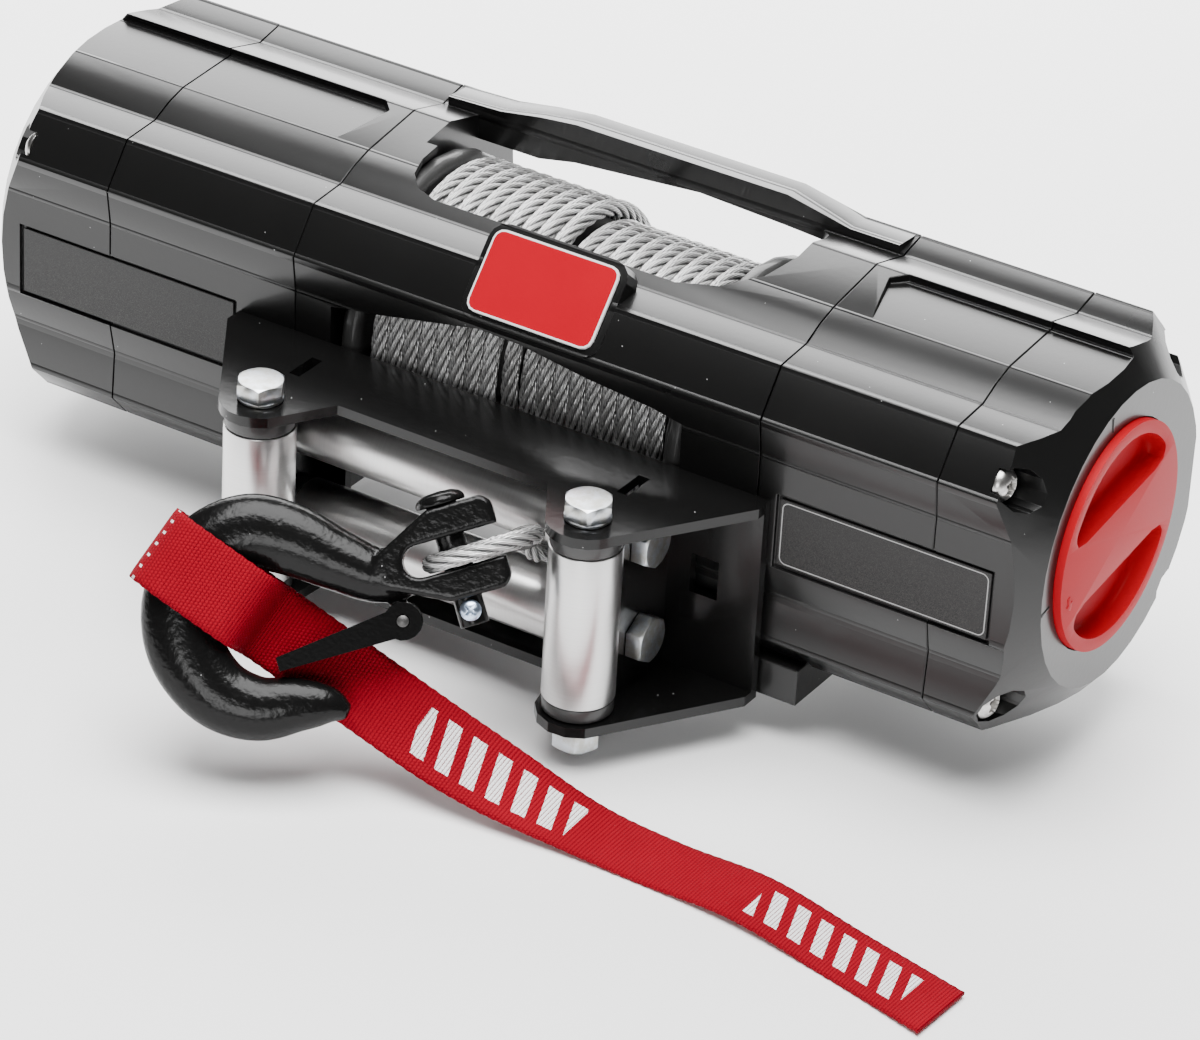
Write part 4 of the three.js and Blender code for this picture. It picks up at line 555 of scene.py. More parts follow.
softbox("back_softbox", (-0.55, 0.98, 0.60), (0, 0, 0.13), 1.5, 1.0, 44, 16)
softbox("top_softbox", (0.1, -0.2, 2.0), (0, 0, 0.1), 1.7, 1.7, 138)
softbox("front_softbox", (1.0, -2.5, 0.75), (0, 0, 0.06), 1.0, 0.8, 26)
world = bpy.data.worlds.new("studio_air")
world.use_nodes = True
world.node_tree.nodes["Background"].inputs["Color"].default_value = grey(1.0)
world.node_tree.nodes["Background"].inputs["Strength"].default_value = air_strength
bpy.context.scene.world = world

# The housing: five aluminium castings in a row, painted gloss black, with the seams between them
# left open by a hair. The flats between their edges are cast a little full.
axis_height = 73 * MM


def black_paint(name, peel_size, peel_depth, gloss=0.24, level=0.005, dust=0.5, shine=0.5, crown=False):
    """Gloss black paint: a faint orange peel, cloudy gloss and a few specks of dust."""
    coat = {"Coat_Roughness": 0.10, "Coat_Weight": 0.6 * shine}
    crown_depth = 0.55 * MM
    finish = Finish(name, Metallic=0.0, Specular_IOR_Level=shine, **coat)
    cloud = finish.noise(14.0, 4.0)
    speck = finish.cells(150.0) < 0.035
    speck = speck * (finish.noise(60.0, 1.0) > 0.5) * dust
    shade = finish.blend(cloud, grey(level), grey(level * 1.5, 0.02))
    finish.paint("Base Color", finish.blend(speck, shade, grey(0.45)))
    finish.paint("Roughness", gloss + cloud * 0.10 + speck * 0.4)
    peel = finish.noise(1 / peel_size, 2.0)
    grain = finish.noise(2600.0, 1.0)
    shaped = finish.bump(peel, peel_depth)
    if crown:
        shaped = finish.bump(facet_crown(finish), crown_depth, shaped)
    finish.bump(grain, 0.006 * MM, shaped)
    return finish.material


flat_edges = (
    (-46, 11), (-55.2, 20.9), (-54, 38.9), (-57, 52.5), (-57, 92.8), (-59, 106.5), (-47.2, 122.6),
    (-31, 123.8), (-13.9, 130.4), (15, 135), (33.3, 130.4), (46, 133.1), (57.2, 110.2),
    (59, 54.4), (46, 11),
)


def facet_crown(finish):
    """1 in the middle of each flat of the housing and 0 at both of its edges, but 0 on the end faces."""
    hair = 0.0006
    stops = []
    for y, z in flat_edges:
        at = math.atan2(y * MM, z * MM - axis_height) / (2 * math.pi) + 0.5
        stops += [(at - hair, 1.0), (at + hair, 0.0)]
    angle = finish.math("ARCTAN2", finish.along(1), finish.along(2) - axis_height)
    turn = angle * (1 / (2 * math.pi)) + 0.5
    share = finish.node("ShaderNodeValToRGB", {"stops": stops}, {0: turn})
    normal = finish.node("ShaderNodeTexCoord", output="Normal")
    facing = finish.node("ShaderNodeSeparateXYZ", None, {0: normal})
    end_face = finish.between(finish.math("ABSOLUTE", facing), 0.25, 0.45)
    return share * (1 - share) * 4 * (1 - end_face)


casting_paint = black_paint("black_casting_paint", 2.2 * MM, 0.025 * MM, level=0.003, shine=0.34, crown=True)
castings = {
    "motor_end_cap": ("motor_cap_casting", 1.0 * MM),
    "motor_housing": ("motor_housing_casting", 0.9 * MM),
    "centre_frame": ("drum_frame_casting", 0.9 * MM),
    "gear_housing": ("gear_housing_casting", 0.9 * MM),
    "clutch_end_cap": ("clutch_cap_casting", 1.0 * MM),
}
for node, (name, edge) in castings.items():
    casting = softened(merged_copy(node, name), edge, 3)
    finished(casting, casting_paint, "black_casting", "frame", node)


# Cap screws: bright steel with round button heads and a six-lobed socket. They stand deep in
# round pockets and hold each end cap to the casting behind it.
def turned(name, profile, steps, place=Matrix.Identity(4)):
    """A ring of (height, radius) points spun round the Z axis, then put in its place."""
    bpy.ops.object.select_all(action="DESELECT")
    bpy.ops.mesh.primitive_circle_add(vertices=len(profile), location=(0, 0, 0))
    piece = bpy.context.object
    piece.name = name
    for corner, (height, radius) in zip(piece.data.vertices, profile):
        corner.co = (radius, 0, height)
    bpy.ops.object.mode_set(mode="EDIT")
    bpy.ops.mesh.select_all(action="SELECT")
    bpy.ops.mesh.spin(steps=steps, angle=2 * math.pi, center=(0, 0, 0), axis=(0, 0, 1))
    bpy.ops.mesh.select_all(action="SELECT")
    bpy.ops.mesh.remove_doubles(threshold=0.001 * MM)
    bpy.ops.mesh.delete_loose()
    faces_out()
    piece.data.transform(place)
    return piece


def bar_profile(low, high, radius, inner=0):
    """The profile of a round bar, or of a tube where it has an inner radius."""
    return [(low, inner), (low, radius), (high, radius), (high, inner)]


def prism(name, points, low, high, place=Matrix.Identity(4)):
    """A flat outline of (x, y) points drawn out along Z, then put in its place."""
    bpy.ops.object.select_all(action="DESELECT")
    bpy.ops.mesh.primitive_circle_add(vertices=len(points), fill_type="NGON", location=(0, 0, 0))
    piece = bpy.context.object
    piece.name = name
    for corner, (x, y) in zip(piece.data.vertices, points):
        corner.co = (x, y, low)
    bpy.ops.object.mode_set(mode="EDIT")
    bpy.ops.mesh.select_all(action="SELECT")
    bpy.ops.mesh.extrude_region_move(TRANSFORM_OT_translate={"value": (0, 0, high - low)})
    faces_out()
    piece.data.transform(place)
    return piece


def carved(piece, cutter, how="DIFFERENCE"):
    """Cuts a piece with another, which is used up."""
    modified(piece, "BOOLEAN", operation=how, object=cutter, solver="EXACT")
    bpy.data.objects.remove(cutter)
    return piece


def joined(first, *others):
    """Makes one piece of several."""
    only(first)
    for other in others:
        other.select_set(True)
    bpy.ops.object.join()
    return first


def rounded(piece, width, segments=3, angle=30.0):
    """Rounds the sharp edges of a turned or drawn-out piece and shades it smooth."""
    bevelled(piece, width, segments, angle)
    only(piece)
    bpy.ops.object.shade_smooth_by_angle(angle=math.radians(35))
    return piece


def bright_steel_finish(name, shade, patch, scale, rough):
    """Zinc-plated steel: clouded plating with fine scratches."""
    finish = Finish(name, Metallic=1.0)
    cloud = finish.noise(scale, 4.0, roughness=0.6)
    scratch = finish.noise(1800.0, 2.0, (1, 0.2, 1))
    finish.paint("Base Color", finish.blend(finish.between(cloud, 0.35, 0.65), shade, patch))
    finish.paint("Roughness", rough + cloud * 0.2)
    finish.bump(scratch, 0.012 * MM)
    return finish.material


def along_x(x, y, z, outwards=1):
    """The place of a piece whose Z axis is to lie along X, or against it."""
    return Matrix.Translation((x, y, z)) @ Matrix.Rotation(math.radians(90 * outwards), 4, "Y")


screw_shade = (0.60, 0.59, 0.57, 1)
screw_patch = (0.42, 0.41, 0.40, 1)
screw_steel = bright_steel_finish("cap_screw_steel", screw_shade, screw_patch, 420.0, 0.2)
screw_head = 6.3 * MM
screw_height = 4.4 * MM
screw_shank = 2.6 * MM
screw_length = 26 * MM
socket_radius = 3.3 * MM
socket_depth = 3.0 * MM
crown_share = 0.12
lobe_share = 0.16
lobe_corners = 36
seat_gap = 0.3 * MM
screw_places = ((-50.15, 108.96), (-46.61, 23.4), (49.56, 117.64), (48.38, 28.36))
screw_profile = [(-screw_length, 0), (-screw_length, screw_shank), (0, screw_shank), (0, screw_head)]
for a in np.linspace(0.25, math.pi / 2, 9):
    radius = screw_head * (crown_share + (1 - crown_share) * math.cos(a))
    screw_profile.append((screw_height * math.sin(a), radius))
screw_profile.append((screw_height, 0))
lobes = []
for a in np.arange(lobe_corners) * (2 * math.pi / lobe_corners):
    radius = socket_radius * (1 + lobe_share * math.cos(6 * a))
    lobes.append((radius * math.cos(a), radius * math.sin(a)))
for end, seat, outwards in (("motor", -203.2 * MM, -1), ("clutch", 190.7 * MM, 1)):
    for i, (y, z) in enumerate(screw_places):
        screw = turned(f"{end}_cap_bolt_{i + 1}", screw_profile, 40)
        screw = carved(screw, prism("socket", lobes, screw_height - socket_depth, screw_height + 1 * MM))
        rounded(screw, 0.2 * MM, 2)
        screw.data.transform(along_x(seat + outwards * seat_gap, y * MM, z * MM, outwards))
        finished(screw, screw_steel, "zinc_steel", "frame", f"{end}_cap_screw_{i + 1}")


# The two labels: plates of dark film with a metal flake, which lie in shallow pockets of the housing.
# The one on the gear side has a thin pale line round it.
def label_finish(name, x_from, x_to, z_from, z_to, line):
    inset = 1.0 * MM
    corner = 2.5 * MM
    finish = Finish(name, Metallic=0.15, Specular_IOR_Level=0.3)
    flake = finish.noise(5200.0, 1.0)
    cloud = finish.noise(12.0, 2.0)
    squares = []
    for axis, low, high in ((0, x_from, x_to), (2, z_from, z_to)):
        half = (high - low) / 2 - inset - corner
        from_middle = finish.math("ABSOLUTE", finish.along(axis) - (low + high) / 2)
        past = finish.math("MAXIMUM", from_middle - half, 0.0)
        squares.append(past * past)
    away = finish.math("SQRT", squares[0] + squares[1]) - corner
    rim = finish.math("ABSOLUTE", away) < line / 2
    shade = finish.blend(finish.between(flake, 0.45, 0.75), grey(0.008), grey(0.06, 0.02))
    shade = finish.blend(finish.between(finish.along(2), z_from, z_to) * 0.4, shade, grey(0.03))
    finish.paint("Base Color", finish.blend(rim, shade, grey(0.32)))
    finish.paint("Roughness", 0.34 + flake * 0.2 + cloud * 0.1)
    finish.bump(flake, 0.01 * MM)
    return finish.material


label_low = 53 * MM
label_high = 78.5 * MM
for node, name, x_from, x_to, line in (
    ("motor_side_label", "motor_label_film", -206 * MM, -113 * MM, 0.0),
    ("gear_side_label", "gear_label_film", 113 * MM, 194 * MM, 0.4 * MM),
):
    label = softened(merged_copy(node, name), 0.2 * MM, 2)
    film = label_finish(name + "_print", x_from, x_to, label_low, label_high, line)
    finished(label, film, "label_film", "frame", node)


# The badge: a plain steel plate, enamelled red inside a pale rim. It lies on the raised block
# of the front bar.
def red_enamel(name):
    base = (0.30, 0.0008, 0.009, 1)
    finish = Finish(name, Specular_IOR_Level=0.02)
    cloud = finish.noise(30.0, 3.0)
    red = finish.blend(cloud, base, (base[0] * 1.2, base[1] * 1.3, base[2] * 1.3, 1))
    inner = finish.node("ShaderNodeAttribute", {"attribute_name": "inner_face"}, output=2)
    finish.paint("Base Color", finish.blend(inner > 0.6, grey(0.62), red))
    finish.paint("Roughness", 0.3 + cloud * 0.12)
    finish.bump(finish.noise(900.0, 2.0), 0.01 * MM)
    return finish.material


badge_rim = 1.3 * MM
badge = merged_copy("badge_plate", "badge_enamel_plate")
badge_front = max((f for f in badge.data.polygons if f.normal.z > 0), key=lambda f: f.area)
badge.data.polygons.foreach_set("select", [f == badge_front for f in badge.data.polygons])
bpy.context.tool_settings.mesh_select_mode = (False, False, True)
bpy.ops.object.mode_set(mode="EDIT")
bpy.ops.mesh.inset(thickness=badge_rim)
bpy.ops.object.mode_set(mode="OBJECT")
badge_field = next(f for f in badge.data.polygons if f.select)
inner_face = badge.data.attributes.new("inner_face", "FLOAT", "POINT")
for corner in badge_field.vertices:
    inner_face.data[corner].value = 1.0
badge = softened(badge, 0.25 * MM, 2)
finished(badge, red_enamel("badge_red_enamel"), "red_badge", "frame", "badge_plate")


# The clutch knob: moulded red nylon, a flush disc on a stem that turns in the clutch end cap.
# Two finger recesses leave a straight bar between them.
def red_nylon(name):
    finish = Finish(name, Subsurface_Weight=0.05, Specular_IOR_Level=0.08)
    cloud = finish.noise(25.0, 3.0)
    grain = finish.noise(2200.0, 2.0)
    finish.paint("Base Color", finish.blend(cloud, (0.33, 0.002, 0.008, 1), (0.38, 0.003, 0.010, 1)))
    finish.paint("Roughness", 0.38 + grain * 0.1 + cloud * 0.06)
    finish.bump(grain, 0.02 * MM)
    return finish.material


knob_red = red_nylon("knob_red_nylon")
knob_face = 212.3 * MM
knob_back = 200.3 * MM
knob_radius = 41 * MM
stem_radius = 10 * MM
stem_end = 185.3 * MM
finger_outer = 36.5 * MM
finger_inner = 12.5 * MM
finger_depth = 7.5 * MM
finger_corner = 1.4 * MM
corner_turn = 0.16
stem_bore = 5.5 * MM
bore_floor = knob_face - 12.3 * MM
knob_turn = 0.13
knob = turned(
    "clutch_knob_disc",
    [
        (stem_end, stem_bore), (stem_end, stem_radius), (knob_back, stem_radius), (knob_back, knob_radius),
        (knob_face, knob_radius), (knob_face, 0), (bore_floor, 0), (bore_floor, stem_bore),
    ],
    96,
)
rim = math.acos(finger_inner / finger_outer) - corner_turn
for side in (-1, 1):
    middle = knob_turn + side * math.pi / 2
    points = []
    for a in np.linspace(-rim, rim, 33):
        points.append((finger_outer * math.cos(middle + a), finger_outer * math.sin(middle + a)))
    for share, near in (
        (0.93, finger_inner + finger_corner), (0.75, finger_inner),
        (-0.75, finger_inner), (-0.93, finger_inner + finger_corner),
    ):
        across = finger_outer * math.sin(rim) * share
        x = near * math.cos(middle) - across * math.sin(middle)
        y = near * math.sin(middle) + across * math.cos(middle)
        points.append((x, y))
    recess = prism("recess", points, knob_face - finger_depth, knob_face + 2 * MM)
    bevelled(recess, 2.4 * MM, 4, 50)
    knob = carved(knob, recess)
rounded(knob, 0.9 * MM, 3, 40)
upright = Matrix(((0, 0, 1, 0), (1, 0, 0, 0), (0, 1, 0, axis_height), (0, 0, 0, 1)))
knob.data.transform(upright)
finished(knob, knob_red, "red_knob", "knob", "clutch_knob")

# A small turn arrow on the knob and two tick marks on the cap's face show where it is free and where
# it is locked. All three are moulded or cast on and stand out by a third of a millimetre.
mark_height = 0.35 * MM
mark_sunk = 0.5 * MM
arrow_reach = 35.5 * MM
arrow_outline = [(0, 3.4), (-2.1, 0.4), (-0.8, 0.4), (-0.8, -2.6), (0.8, -2.6), (0.8, 0.4), (2.1, 0.4)]
arrow_turn = knob_turn + 1.05 * math.pi
arrow_corners = [(x * MM, y * MM) for x, y in arrow_outline]
arrow = prism("knob_arrow", arrow_corners, knob_face - mark_sunk, knob_face + mark_height)
arrow.data.transform(upright @ Matrix.Rotation(arrow_turn, 4, "Z") @ Matrix.Translation((arrow_reach, 0, 0)))
finished(rounded(arrow, 0.15 * MM, 2), knob_red, "red_knob", "knob")
cap_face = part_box("clutch_end_cap")[1].x
tick_reach = 46.5 * MM
tick_half_length = 2.8 * MM
tick_half_width = 0.55 * MM
for name, tick_turn in (("locked", 0.56 * math.pi), ("free", 1.06 * math.pi)):
    corners = [
        (-tick_half_length, -tick_half_width), (tick_half_length, -tick_half_width),
        (tick_half_length, tick_half_width), (-tick_half_length, tick_half_width),
    ]
    tick = prism(f"cap_tick_{name}", corners, cap_face - mark_sunk, cap_face + mark_height)
    tick.data.transform(upright @ Matrix.Rotation(tick_turn, 4, "Z") @ Matrix.Translation((tick_reach, 0, 0)))
    finished(rounded(tick, 0.15 * MM, 2), casting_paint, "black_casting", "frame")


# The drum and the rope on it: a dark iron spool with thick rolled flanges, a core of inner layers
# and one outer layer that steps down by a layer half way along. The inner layers are painted near black as
# painted shade under the outer layer.
spool = softened(merged_copy("drum_spool", "cast_drum"), 1.8 * MM, 4, 30)
drum_paint = black_paint("drum_black_coating", 1.2 * MM, 0.10 * MM, 0.42, 0.012, 0.2)
finished(spool, drum_paint, "dark_steel", "drum", "drum_spool")
# Painted shade: the inner layers are zinc-grey rope like the outer one, but are painted near black for the
# shade between and under the outer turns.
inner_layers_shade_finish = dark_steel_finish("inner_rope_layers", 0.03)
core = softened(merged_copy("rope_core", "inner_layers"), 0.4 * MM, 2, 20)
finished(core, inner_layers_shade_finish, "wire_rope", "drum", "rope_core")

winding_turns = 18
winding_from = -57.4 * MM
winding_to = 59.4 * MM
winding_pitch = (winding_to - winding_from) / winding_turns
upper_radius = 51 * MM
lower_radius = 45.4 * MM
layer_step = -2.7 * MM
drop_turns = 0.5
wander = 0.10 * MM
wound_diameter = 6.3 * MM
steps_a_turn = 116
turn_count = np.arange(winding_turns * steps_a_turn + 1) / steps_a_turn
winding_x = winding_from + winding_pitch * turn_count
drop = np.clip((winding_x - layer_step) / winding_pitch / drop_turns + 0.5, 0, 1)
drop = drop * drop * (3 - 2 * drop)
winding_radius = upper_radius + (lower_radius - upper_radius) * drop
winding_x = winding_x + wander * np.sin(turn_count * 2.3) * np.sin(turn_count * 0.9)
winding_y = winding_radius * np.cos(2 * math.pi * turn_count)
winding_z = axis_height + winding_radius * np.sin(2 * math.pi * turn_count)
winding = laid_rope("rope_outer_layer", np.stack([winding_x, winding_y, winding_z], axis=1), wound_diameter)
finished(winding, rope_finish("galvanised_rope_on_drum"), "wire_rope", "drum", "rope_winding")

# The fairlead: a folded steel plate, powder coated black, with slots in its top. It is fixed to
# the front of the winch and carries four plain rollers.
plate_coat = black_paint("fairlead_powder_coat", 2.8 * MM, 0.05 * MM, 0.16, 0.003, 0.9, shine=0.26)
bracket = softened(merged_copy("fairlead_bracket", "folded_fairlead_plate"), 0.55 * MM, 2, 20)
finished(bracket, plate_coat, "black_plate", "frame", "fairlead_bracket")


# Rollers: ground steel tube between two black nylon collars. Two stand upright and two lie level,
# and each is free on its own bolt.
def ground_steel(name, along):
    """Steel with fine lines left by the grinding wheel, which run round the roller."""
    finish = Finish(name, Metallic=1.0)
    stretch = [9.0, 9.0, 9.0]
    stretch[along] = 2600.0
    lines = finish.noise(1.0, 3.0, stretch)
    cloud = finish.noise(35.0, 3.0)
    finish.paint("Base Color", finish.blend(lines, grey(0.60, 0.012), grey(0.72, 0.006)))
    finish.paint("Roughness", 0.24 + lines * 0.08 + cloud * 0.05)
    finish.bump(lines, 0.003 * MM)
    return finish.material


roller_radius = 12.7 * MM
roller_bore = 5.2 * MM
collar_width = 5.2 * MM
collar_nylon = black_paint("roller_collar_nylon", 1.0 * MM, 0.03 * MM, 0.4, 0.015, 0.3)


def roller(name, low, high, place, along, body, node):
    """A tube and its two collars, which are a step narrower than the tube."""
    step = 0.25 * MM
    tube = turned(
        name + "_tube",
        [
            (low + collar_width, roller_bore), (high - collar_width, roller_bore),
            (high - collar_width, roller_radius), (low + collar_width, roller_radius),
        ],
        96,
        place,
    )
    rounded(tube, 0.35 * MM, 2)
    finished(tube, ground_steel(name + "_ground_steel", along), "roller_steel", body, node)
    for end, (a, b) in enumerate(((low, low + collar_width - step), (high - collar_width + step, high))):
        collar = turned(
            f"{name}_collar_{end + 1}",
            [(a, roller_bore), (b, roller_bore), (b, roller_radius - step), (a, roller_radius - step)],
            72,
            place,
        )
        rounded(collar, 0.5 * MM, 3)
        finished(collar, collar_nylon, "black_plate", body)


upright_x = 66.8 * MM
upright_y = -104.594 * MM
upright_low = 3.4 * MM
upright_high = 72.6 * MM
level_y = -78.494 * MM
level_half = 68.9 * MM
upright_places = [
    ("left", Matrix.Translation((-upright_x, upright_y, 0))),
    ("right", Matrix.Translation((upright_x, upright_y, 0))),
]
level_places = [
    ("upper", along_x(0, level_y, 58.5 * MM)),
    ("lower", along_x(0, level_y, 21 * MM)),
]
for side, place in upright_places:
    roller(f"upright_{side}", upright_low, upright_high, place, 2, f"roller_{side}", f"upright_roller_{side}")
for height, place in level_places:
    roller(f"level_{height}", -level_half, level_half, place, 0, f"roller_{height}", f"level_roller_{height}")

# Roller bolts and nuts: zinc-plated steel with hexagon heads and a chamfered crown. The upright
# bolts have a washer under the head and a nut below the plate.
zinc_shade = (0.62, 0.65, 0.69, 1)
zinc_patch = (0.50, 0.50, 0.47, 1)
zinc = bright_steel_finish("zinc_plated_steel", zinc_shade, zinc_patch, 260.0, 0.24)
hex_radius = 9 * MM
bolt_radius = 4.7 * MM


def hexagon(name, low, high, crown_low, crown_high):
    """A hexagon whose corners are turned off on the slant at one or both ends."""
    turn_off = 0.9 * MM
    corners = [(hex_radius * math.cos(a), hex_radius * math.sin(a)) for a in np.arange(6) * math.pi / 3]
    flat = hex_radius * math.cos(math.pi / 6)
    profile = [(low, 0), (low, flat if crown_low else hex_radius * 1.1)]
    if crown_low:
        profile.append((low + turn_off, hex_radius * 1.02))
    if crown_high:
        profile.append((high - turn_off, hex_radius * 1.02))
    profile += [(high, flat if crown_high else hex_radius * 1.1), (high, 0)]
    return carved(prism(name, corners, low, high), turned("crown", profile, 72), "INTERSECT")


def rod(name, radius, low, high):
    """A plain round bar."""
    return turned(name, bar_profile(low, high, radius), 48)


def bolt_parts(name, head_low, shank_end):
    """A hexagon head and the shank that starts inside it, along Z."""
    head_height = 6 * MM
    shank_inside = 1.4 * MM
    head = rounded(hexagon(name, head_low, head_low + head_height, False, True), hex_edge, 2)
    shank = rounded(rod("shank", bolt_radius, shank_end, head_low + shank_inside), 0.6 * MM, 2)
    return head, shank


hex_edge = 0.25 * MM
washer_inner = 4.8 * MM
washer_outer = 8.1 * MM
washer_low = 77.3 * MM
washer_high = 78.5 * MM
washer_profile = bar_profile(washer_low, washer_high, washer_outer, washer_inner)
for side, place in upright_places:
    parts = bolt_parts(f"upright_hex_bolt_{side}", 78.6 * MM, -14.3 * MM)
    washer = rounded(turned("washer", washer_profile, 60), hex_edge, 2)
    bolt = joined(*parts, washer)
    bolt.data.transform(place)
    finished(bolt, zinc, "zinc_steel", "frame", f"upright_bolt_{side}")
    nut = hexagon(f"upright_hex_nut_{side}", -11.3 * MM, -1.3 * MM, True, True)
    nut = carved(nut, rod("bore", 5.0 * MM, -20 * MM, 5 * MM))
    rounded(nut, hex_edge, 2)
    nut.data.transform(place)
    finished(nut, zinc, "zinc_steel", "frame", f"upright_nut_{side}")
for height, place in level_places:
    bolt = joined(*bolt_parts(f"level_hex_bolt_{height}", 73.6 * MM, -73.6 * MM))
    bolt.data.transform(place)
    finished(bolt, zinc, "zinc_steel", "frame", f"level_bolt_{height}")

# The hook: drop-forged steel, painted black over the forging's rough skin. Its fork takes the
# rope's eye on the clevis pin, and the lug on its shank carries the latch.
hook_route = (
    (-14, 0.3, 8.5, 8), (-26, 1.1, 9.2, 8), (-38, 9.8, 10.4, 8.2), (-51.5, 21, 12.2, 8.4),
    (-64.5, 27.4, 12.8, 8.4), (-80.5, 24.5, 12.8, 8.4), (-92, 11.5, 13.2, 8.4), (-95, -5, 13.2, 8.4),
    (-89, -21.3, 12.2, 8.2), (-77.7, -30.2, 11, 8), (-64, -32.8, 9.2, 7.4), (-54, -36, 6.4, 5.6),
    (-48.5, -40, 2.6, 2.8),
)
hook_corners = [(x * MM, y * MM, 0, w * MM, t * MM) for x, y, w, t in hook_route]
hook_line = smooth_path(hook_corners, 140)
bend = np.gradient(hook_line[:, :3], axis=0)
bend /= np.linalg.norm(bend, axis=1)[:, None]
hook_across = np.stack([-bend[:, 1], bend[:, 0], bend[:, 2]], axis=1)
sides = 40
around = np.arange(sides) * (2 * math.pi / sides)
hook_rings = (
    hook_line[:, None, :3]
    + (hook_line[:, 3:4] * np.cos(around)[None, :])[:, :, None] * hook_across[:, None, :]
    + (hook_line[:, 4:5] * np.sin(around)[None, :])[:, :, None] * np.array([0, 0, 1.0])
)
hook_bar = grid_piece("forged_hook", hook_rings, np.linspace(0, 1, sides + 1), hook_line[:, 0])
clevis_middle = 2 * MM
fork_inner = 5.5 * MM
fork_outer = 16 * MM
fork_half = 8.2 * MM
ear_end = 16.5 * MM
fork_root = -20 * MM
chamfer = 3 * MM
fork_side = [
    (fork_root - 2 * chamfer, fork_inner), (fork_root, fork_inner + chamfer), (-5 * MM, fork_outer),
    (ear_end - chamfer, fork_outer), (ear_end, fork_outer - chamfer),
]
fork_outline = [(x, clevis_middle - y) for x, y in fork_side]
fork_outline += [(x, clevis_middle + y) for x, y in reversed(fork_side)]
fork = prism("fork", fork_outline, -fork_half, fork_half)
lug_x = -22.7 * MM
lug_y = -15.6 * MM
lug_half = 3.6 * MM
lug_radius = 6.2 * MM
lug = turned("lug", bar_profile(-lug_half, lug_half, lug_radius), 40)
lug.data.transform(Matrix.Translation((lug_x, lug_y, 0)))
hook = joined(hook_bar, fork, lug)
modified(hook, "REMESH", mode="VOXEL", voxel_size=0.8 * MM)
throat_end = -17.5 * MM
mouth = ear_end + 5 * MM
throat_reach = 20 * MM
throat = [(mouth, clevis_middle - fork_inner), (mouth, clevis_middle + fork_inner)]
for a in np.linspace(math.pi / 2, 1.5 * math.pi, 17):
    throat.append((throat_end + fork_inner * (1 + math.cos(a)), clevis_middle + fork_inner * math.sin(a)))
hook = carved(hook, prism("throat", throat, -throat_reach, throat_reach))
bore = 5.3 * MM
bore_reach = 40 * MM
across_ears = Matrix.Rotation(math.pi / 2, 4, "X")
hook = carved(hook, turned("pin_bore", bar_profile(-bore_reach, bore_reach, bore), 40, across_ears))
modified(hook, "REMESH", mode="VOXEL", voxel_size=0.75 * MM)
modified(hook, "SMOOTH", factor=0.5, iterations=7)
hook.data.transform(hook_place)
only(hook)
bpy.ops.object.shade_smooth()
forged_paint = black_paint("forged_black_paint", 2.2 * MM, 0.26 * MM, 0.18, 0.003, 0.5, shine=0.14)
finished(hook, forged_paint, "forged_black", "hook", "hook")

# The clevis pin: a dark mushroom-headed steel pin through both ears of the fork. A blue-plated
# screw with a cross recess keeps it below.
pin_top = 18.3 * MM
pin_end = -23.5 * MM
pin_radius = 5 * MM
pin_head = 8.5 * MM
pin = turned(
    "clevis_pin_steel",
    [
        (pin_end, 0), (pin_end, pin_radius), (pin_top, pin_radius), (pin_top, pin_head),
        (pin_top + 1.6 * MM, pin_head), (pin_top + 3.2 * MM, 7.2 * MM), (pin_top + 4.2 * MM, 4.6 * MM),
        (pin_top + 4.5 * MM, 0),
    ],
    64,
)
rounded(pin, 0.6 * MM, 3, 25)
pin.data.transform(hook_place @ Matrix.Rotation(-math.pi / 2, 4, "X"))
finished(pin, forged_paint, "dark_steel", "hook", "clevis_pin")
cross_y = -18.275 * MM
cross_half = 7.3 * MM
cross_shank = 2.4 * MM
cross_head = 3.6 * MM
cross = turned(
    "pin_cross_screw",
    [
        (-cross_half, 0), (-cross_half, cross_shank), (4.7 * MM, cross_shank), (4.7 * MM, cross_head),
        (5.9 * MM, cross_head), (6.9 * MM, 2.6 * MM), (cross_half, 1.2 * MM), (cross_half, 0),
    ],
    40,
)
arm = 2.3 * MM
slit = 0.45 * MM
slit_corners = [(-arm, -slit), (arm, -slit), (arm, slit), (-arm, slit)]
cross_turn = 0.6
for turn in (cross_turn, cross_turn + math.pi / 2):
    blade = prism("blade", slit_corners, 6.0 * MM, 8 * MM, Matrix.Rotation(turn, 4, "Z"))
    cross = carved(cross, blade)
rounded(cross, 0.15 * MM, 2)
cross.data.transform(hook_place @ Matrix.Translation((0, cross_y, 0)))
blue_zinc = bright_steel_finish("cross_screw_zinc", (0.55, 0.66, 0.85, 1), (0.42, 0.5, 0.62, 1), 700.0, 0.2)
finished(cross, blue_zinc, "zinc_steel", "hook")

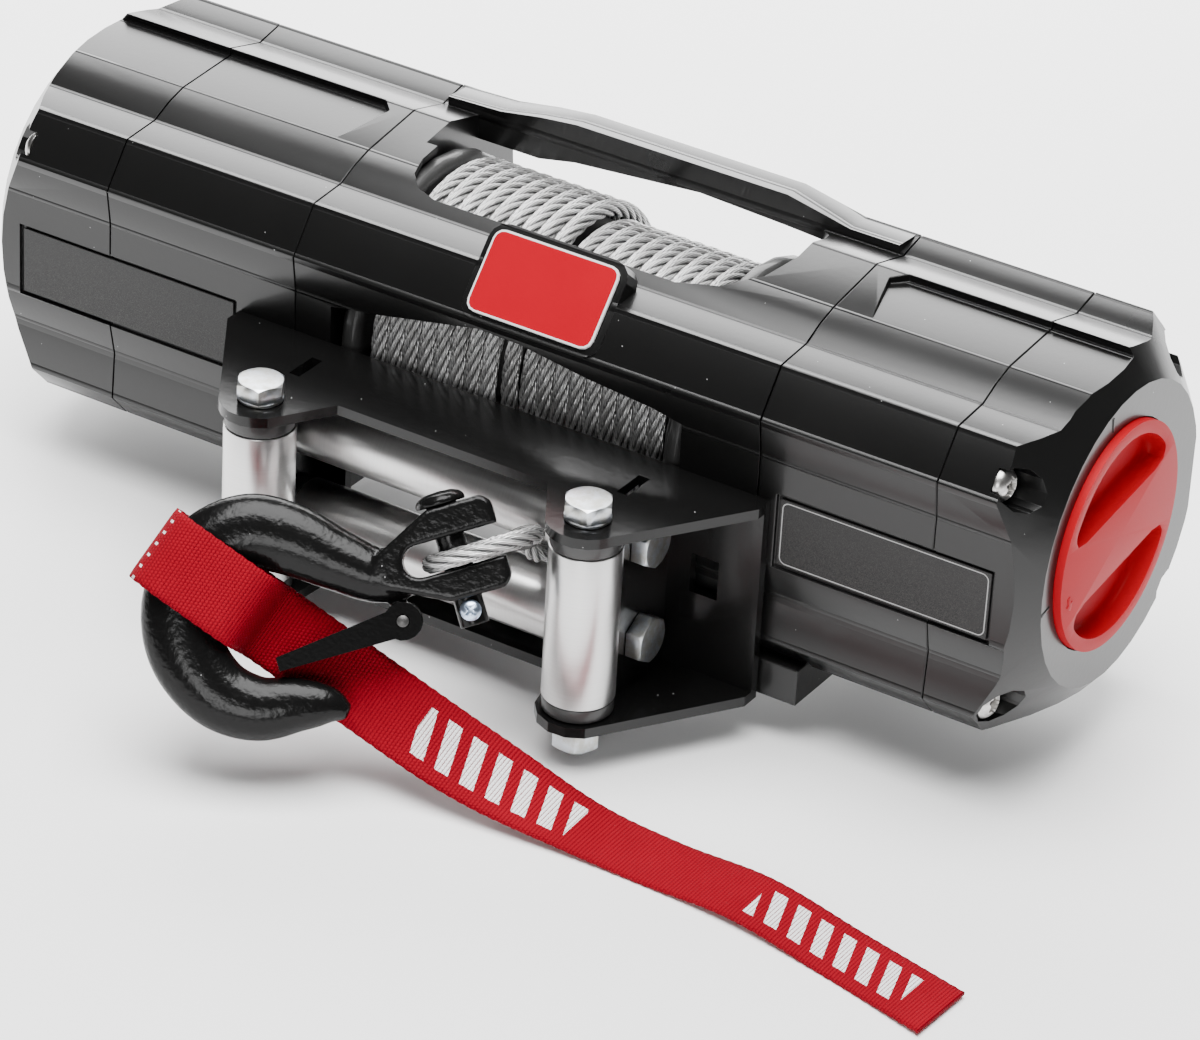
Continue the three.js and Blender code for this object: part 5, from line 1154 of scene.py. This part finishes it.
# The latch: a bar of pressed steel with two cheeks, coated black. It is sprung against the hook's
# tip and turns on a dark steel rivet.
latch = softened(merged_copy("hook_latch", "pressed_latch"), 0.6 * MM, 3, 30)
latch_coat = black_paint("latch_coating", 1.4 * MM, 0.06 * MM, 0.2, 0.002, 0.5, shine=0.05)
finished(latch, latch_coat, "black_plate", "latch", "hook_latch")
latch_pin = turned(
    "latch_rivet",
    [(-6.1 * MM, 0), (-6.1 * MM, 2 * MM), (6.1 * MM, 2 * MM), (6.5 * MM, 1.3 * MM), (6.6 * MM, 0)],
    32,
    Matrix.Translation((lug_x, lug_y, 0)),
)
only(latch_pin)
bpy.ops.object.shade_smooth_by_angle(angle=math.radians(35))
latch_pin.data.transform(hook_place)
finished(latch_pin, dark_steel, "dark_steel", "hook", "latch_pin")


# Inside: the motor, the bushes, the gears and the plunger keep their CAD shapes. Each material gets
# its own finish, since they show when the castings are taken off.
def plain_finish(name, first, second, metallic, rough, scale):
    """Two close shades in clouds, over a fine even grain."""
    depth = 0.02 * MM
    finish = Finish(name, Metallic=metallic)
    cloud = finish.noise(scale, 4.0)
    finish.paint("Base Color", finish.blend(cloud, (*first, 1), (*second, 1)))
    finish.paint("Roughness", rough + cloud * 0.15)
    finish.bump(finish.noise(scale * 9, 2.0), depth)
    return finish.material


planets = [f"{stage}_planet_{i}" for stage in ("second", "first") for i in (1, 2, 3)]
gear_steel_nodes = [
    "motor_bearing", "clutch_plunger", "ring_gear", "second_carrier", "first_carrier", "drive_shaft",
]
magnets = ["motor_magnet_front", "motor_magnet_back"]
brushes = ["brush_upper", "brush_lower"]
bushes = ["drum_bush_motor_side", "drum_bush_gear_side"]
inside = (
    ("motor_can_steel", (0.10, 0.10, 0.10), (0.17, 0.165, 0.16), 0.8, 0.34, 60.0, ["motor_can"]),
    ("magnet_ferrite", (0.06, 0.06, 0.065), (0.11, 0.11, 0.115), 0.1, 0.5, 90.0, magnets),
    ("armature_copper", (0.55, 0.24, 0.12), (0.72, 0.36, 0.20), 0.9, 0.28, 70.0, ["armature"]),
    ("brush_carbon", (0.03, 0.03, 0.032), (0.06, 0.058, 0.055), 0.2, 0.5, 220.0, brushes),
    ("holder_moulding", (0.22, 0.16, 0.09), (0.30, 0.22, 0.13), 0.0, 0.5, 40.0, ["brush_holder"]),
    ("bush_bronze", (0.50, 0.33, 0.13), (0.64, 0.45, 0.20), 0.9, 0.3, 80.0, bushes),
    ("gear_cut_steel", (0.40, 0.41, 0.42), (0.56, 0.57, 0.58), 0.95, 0.26, 120.0, gear_steel_nodes + planets),
)
for *look, nodes in inside:
    material = plain_finish(*look)
    for node in nodes:
        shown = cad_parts[node]
        shown.data.materials.clear()
        shown.data.materials.append(material)
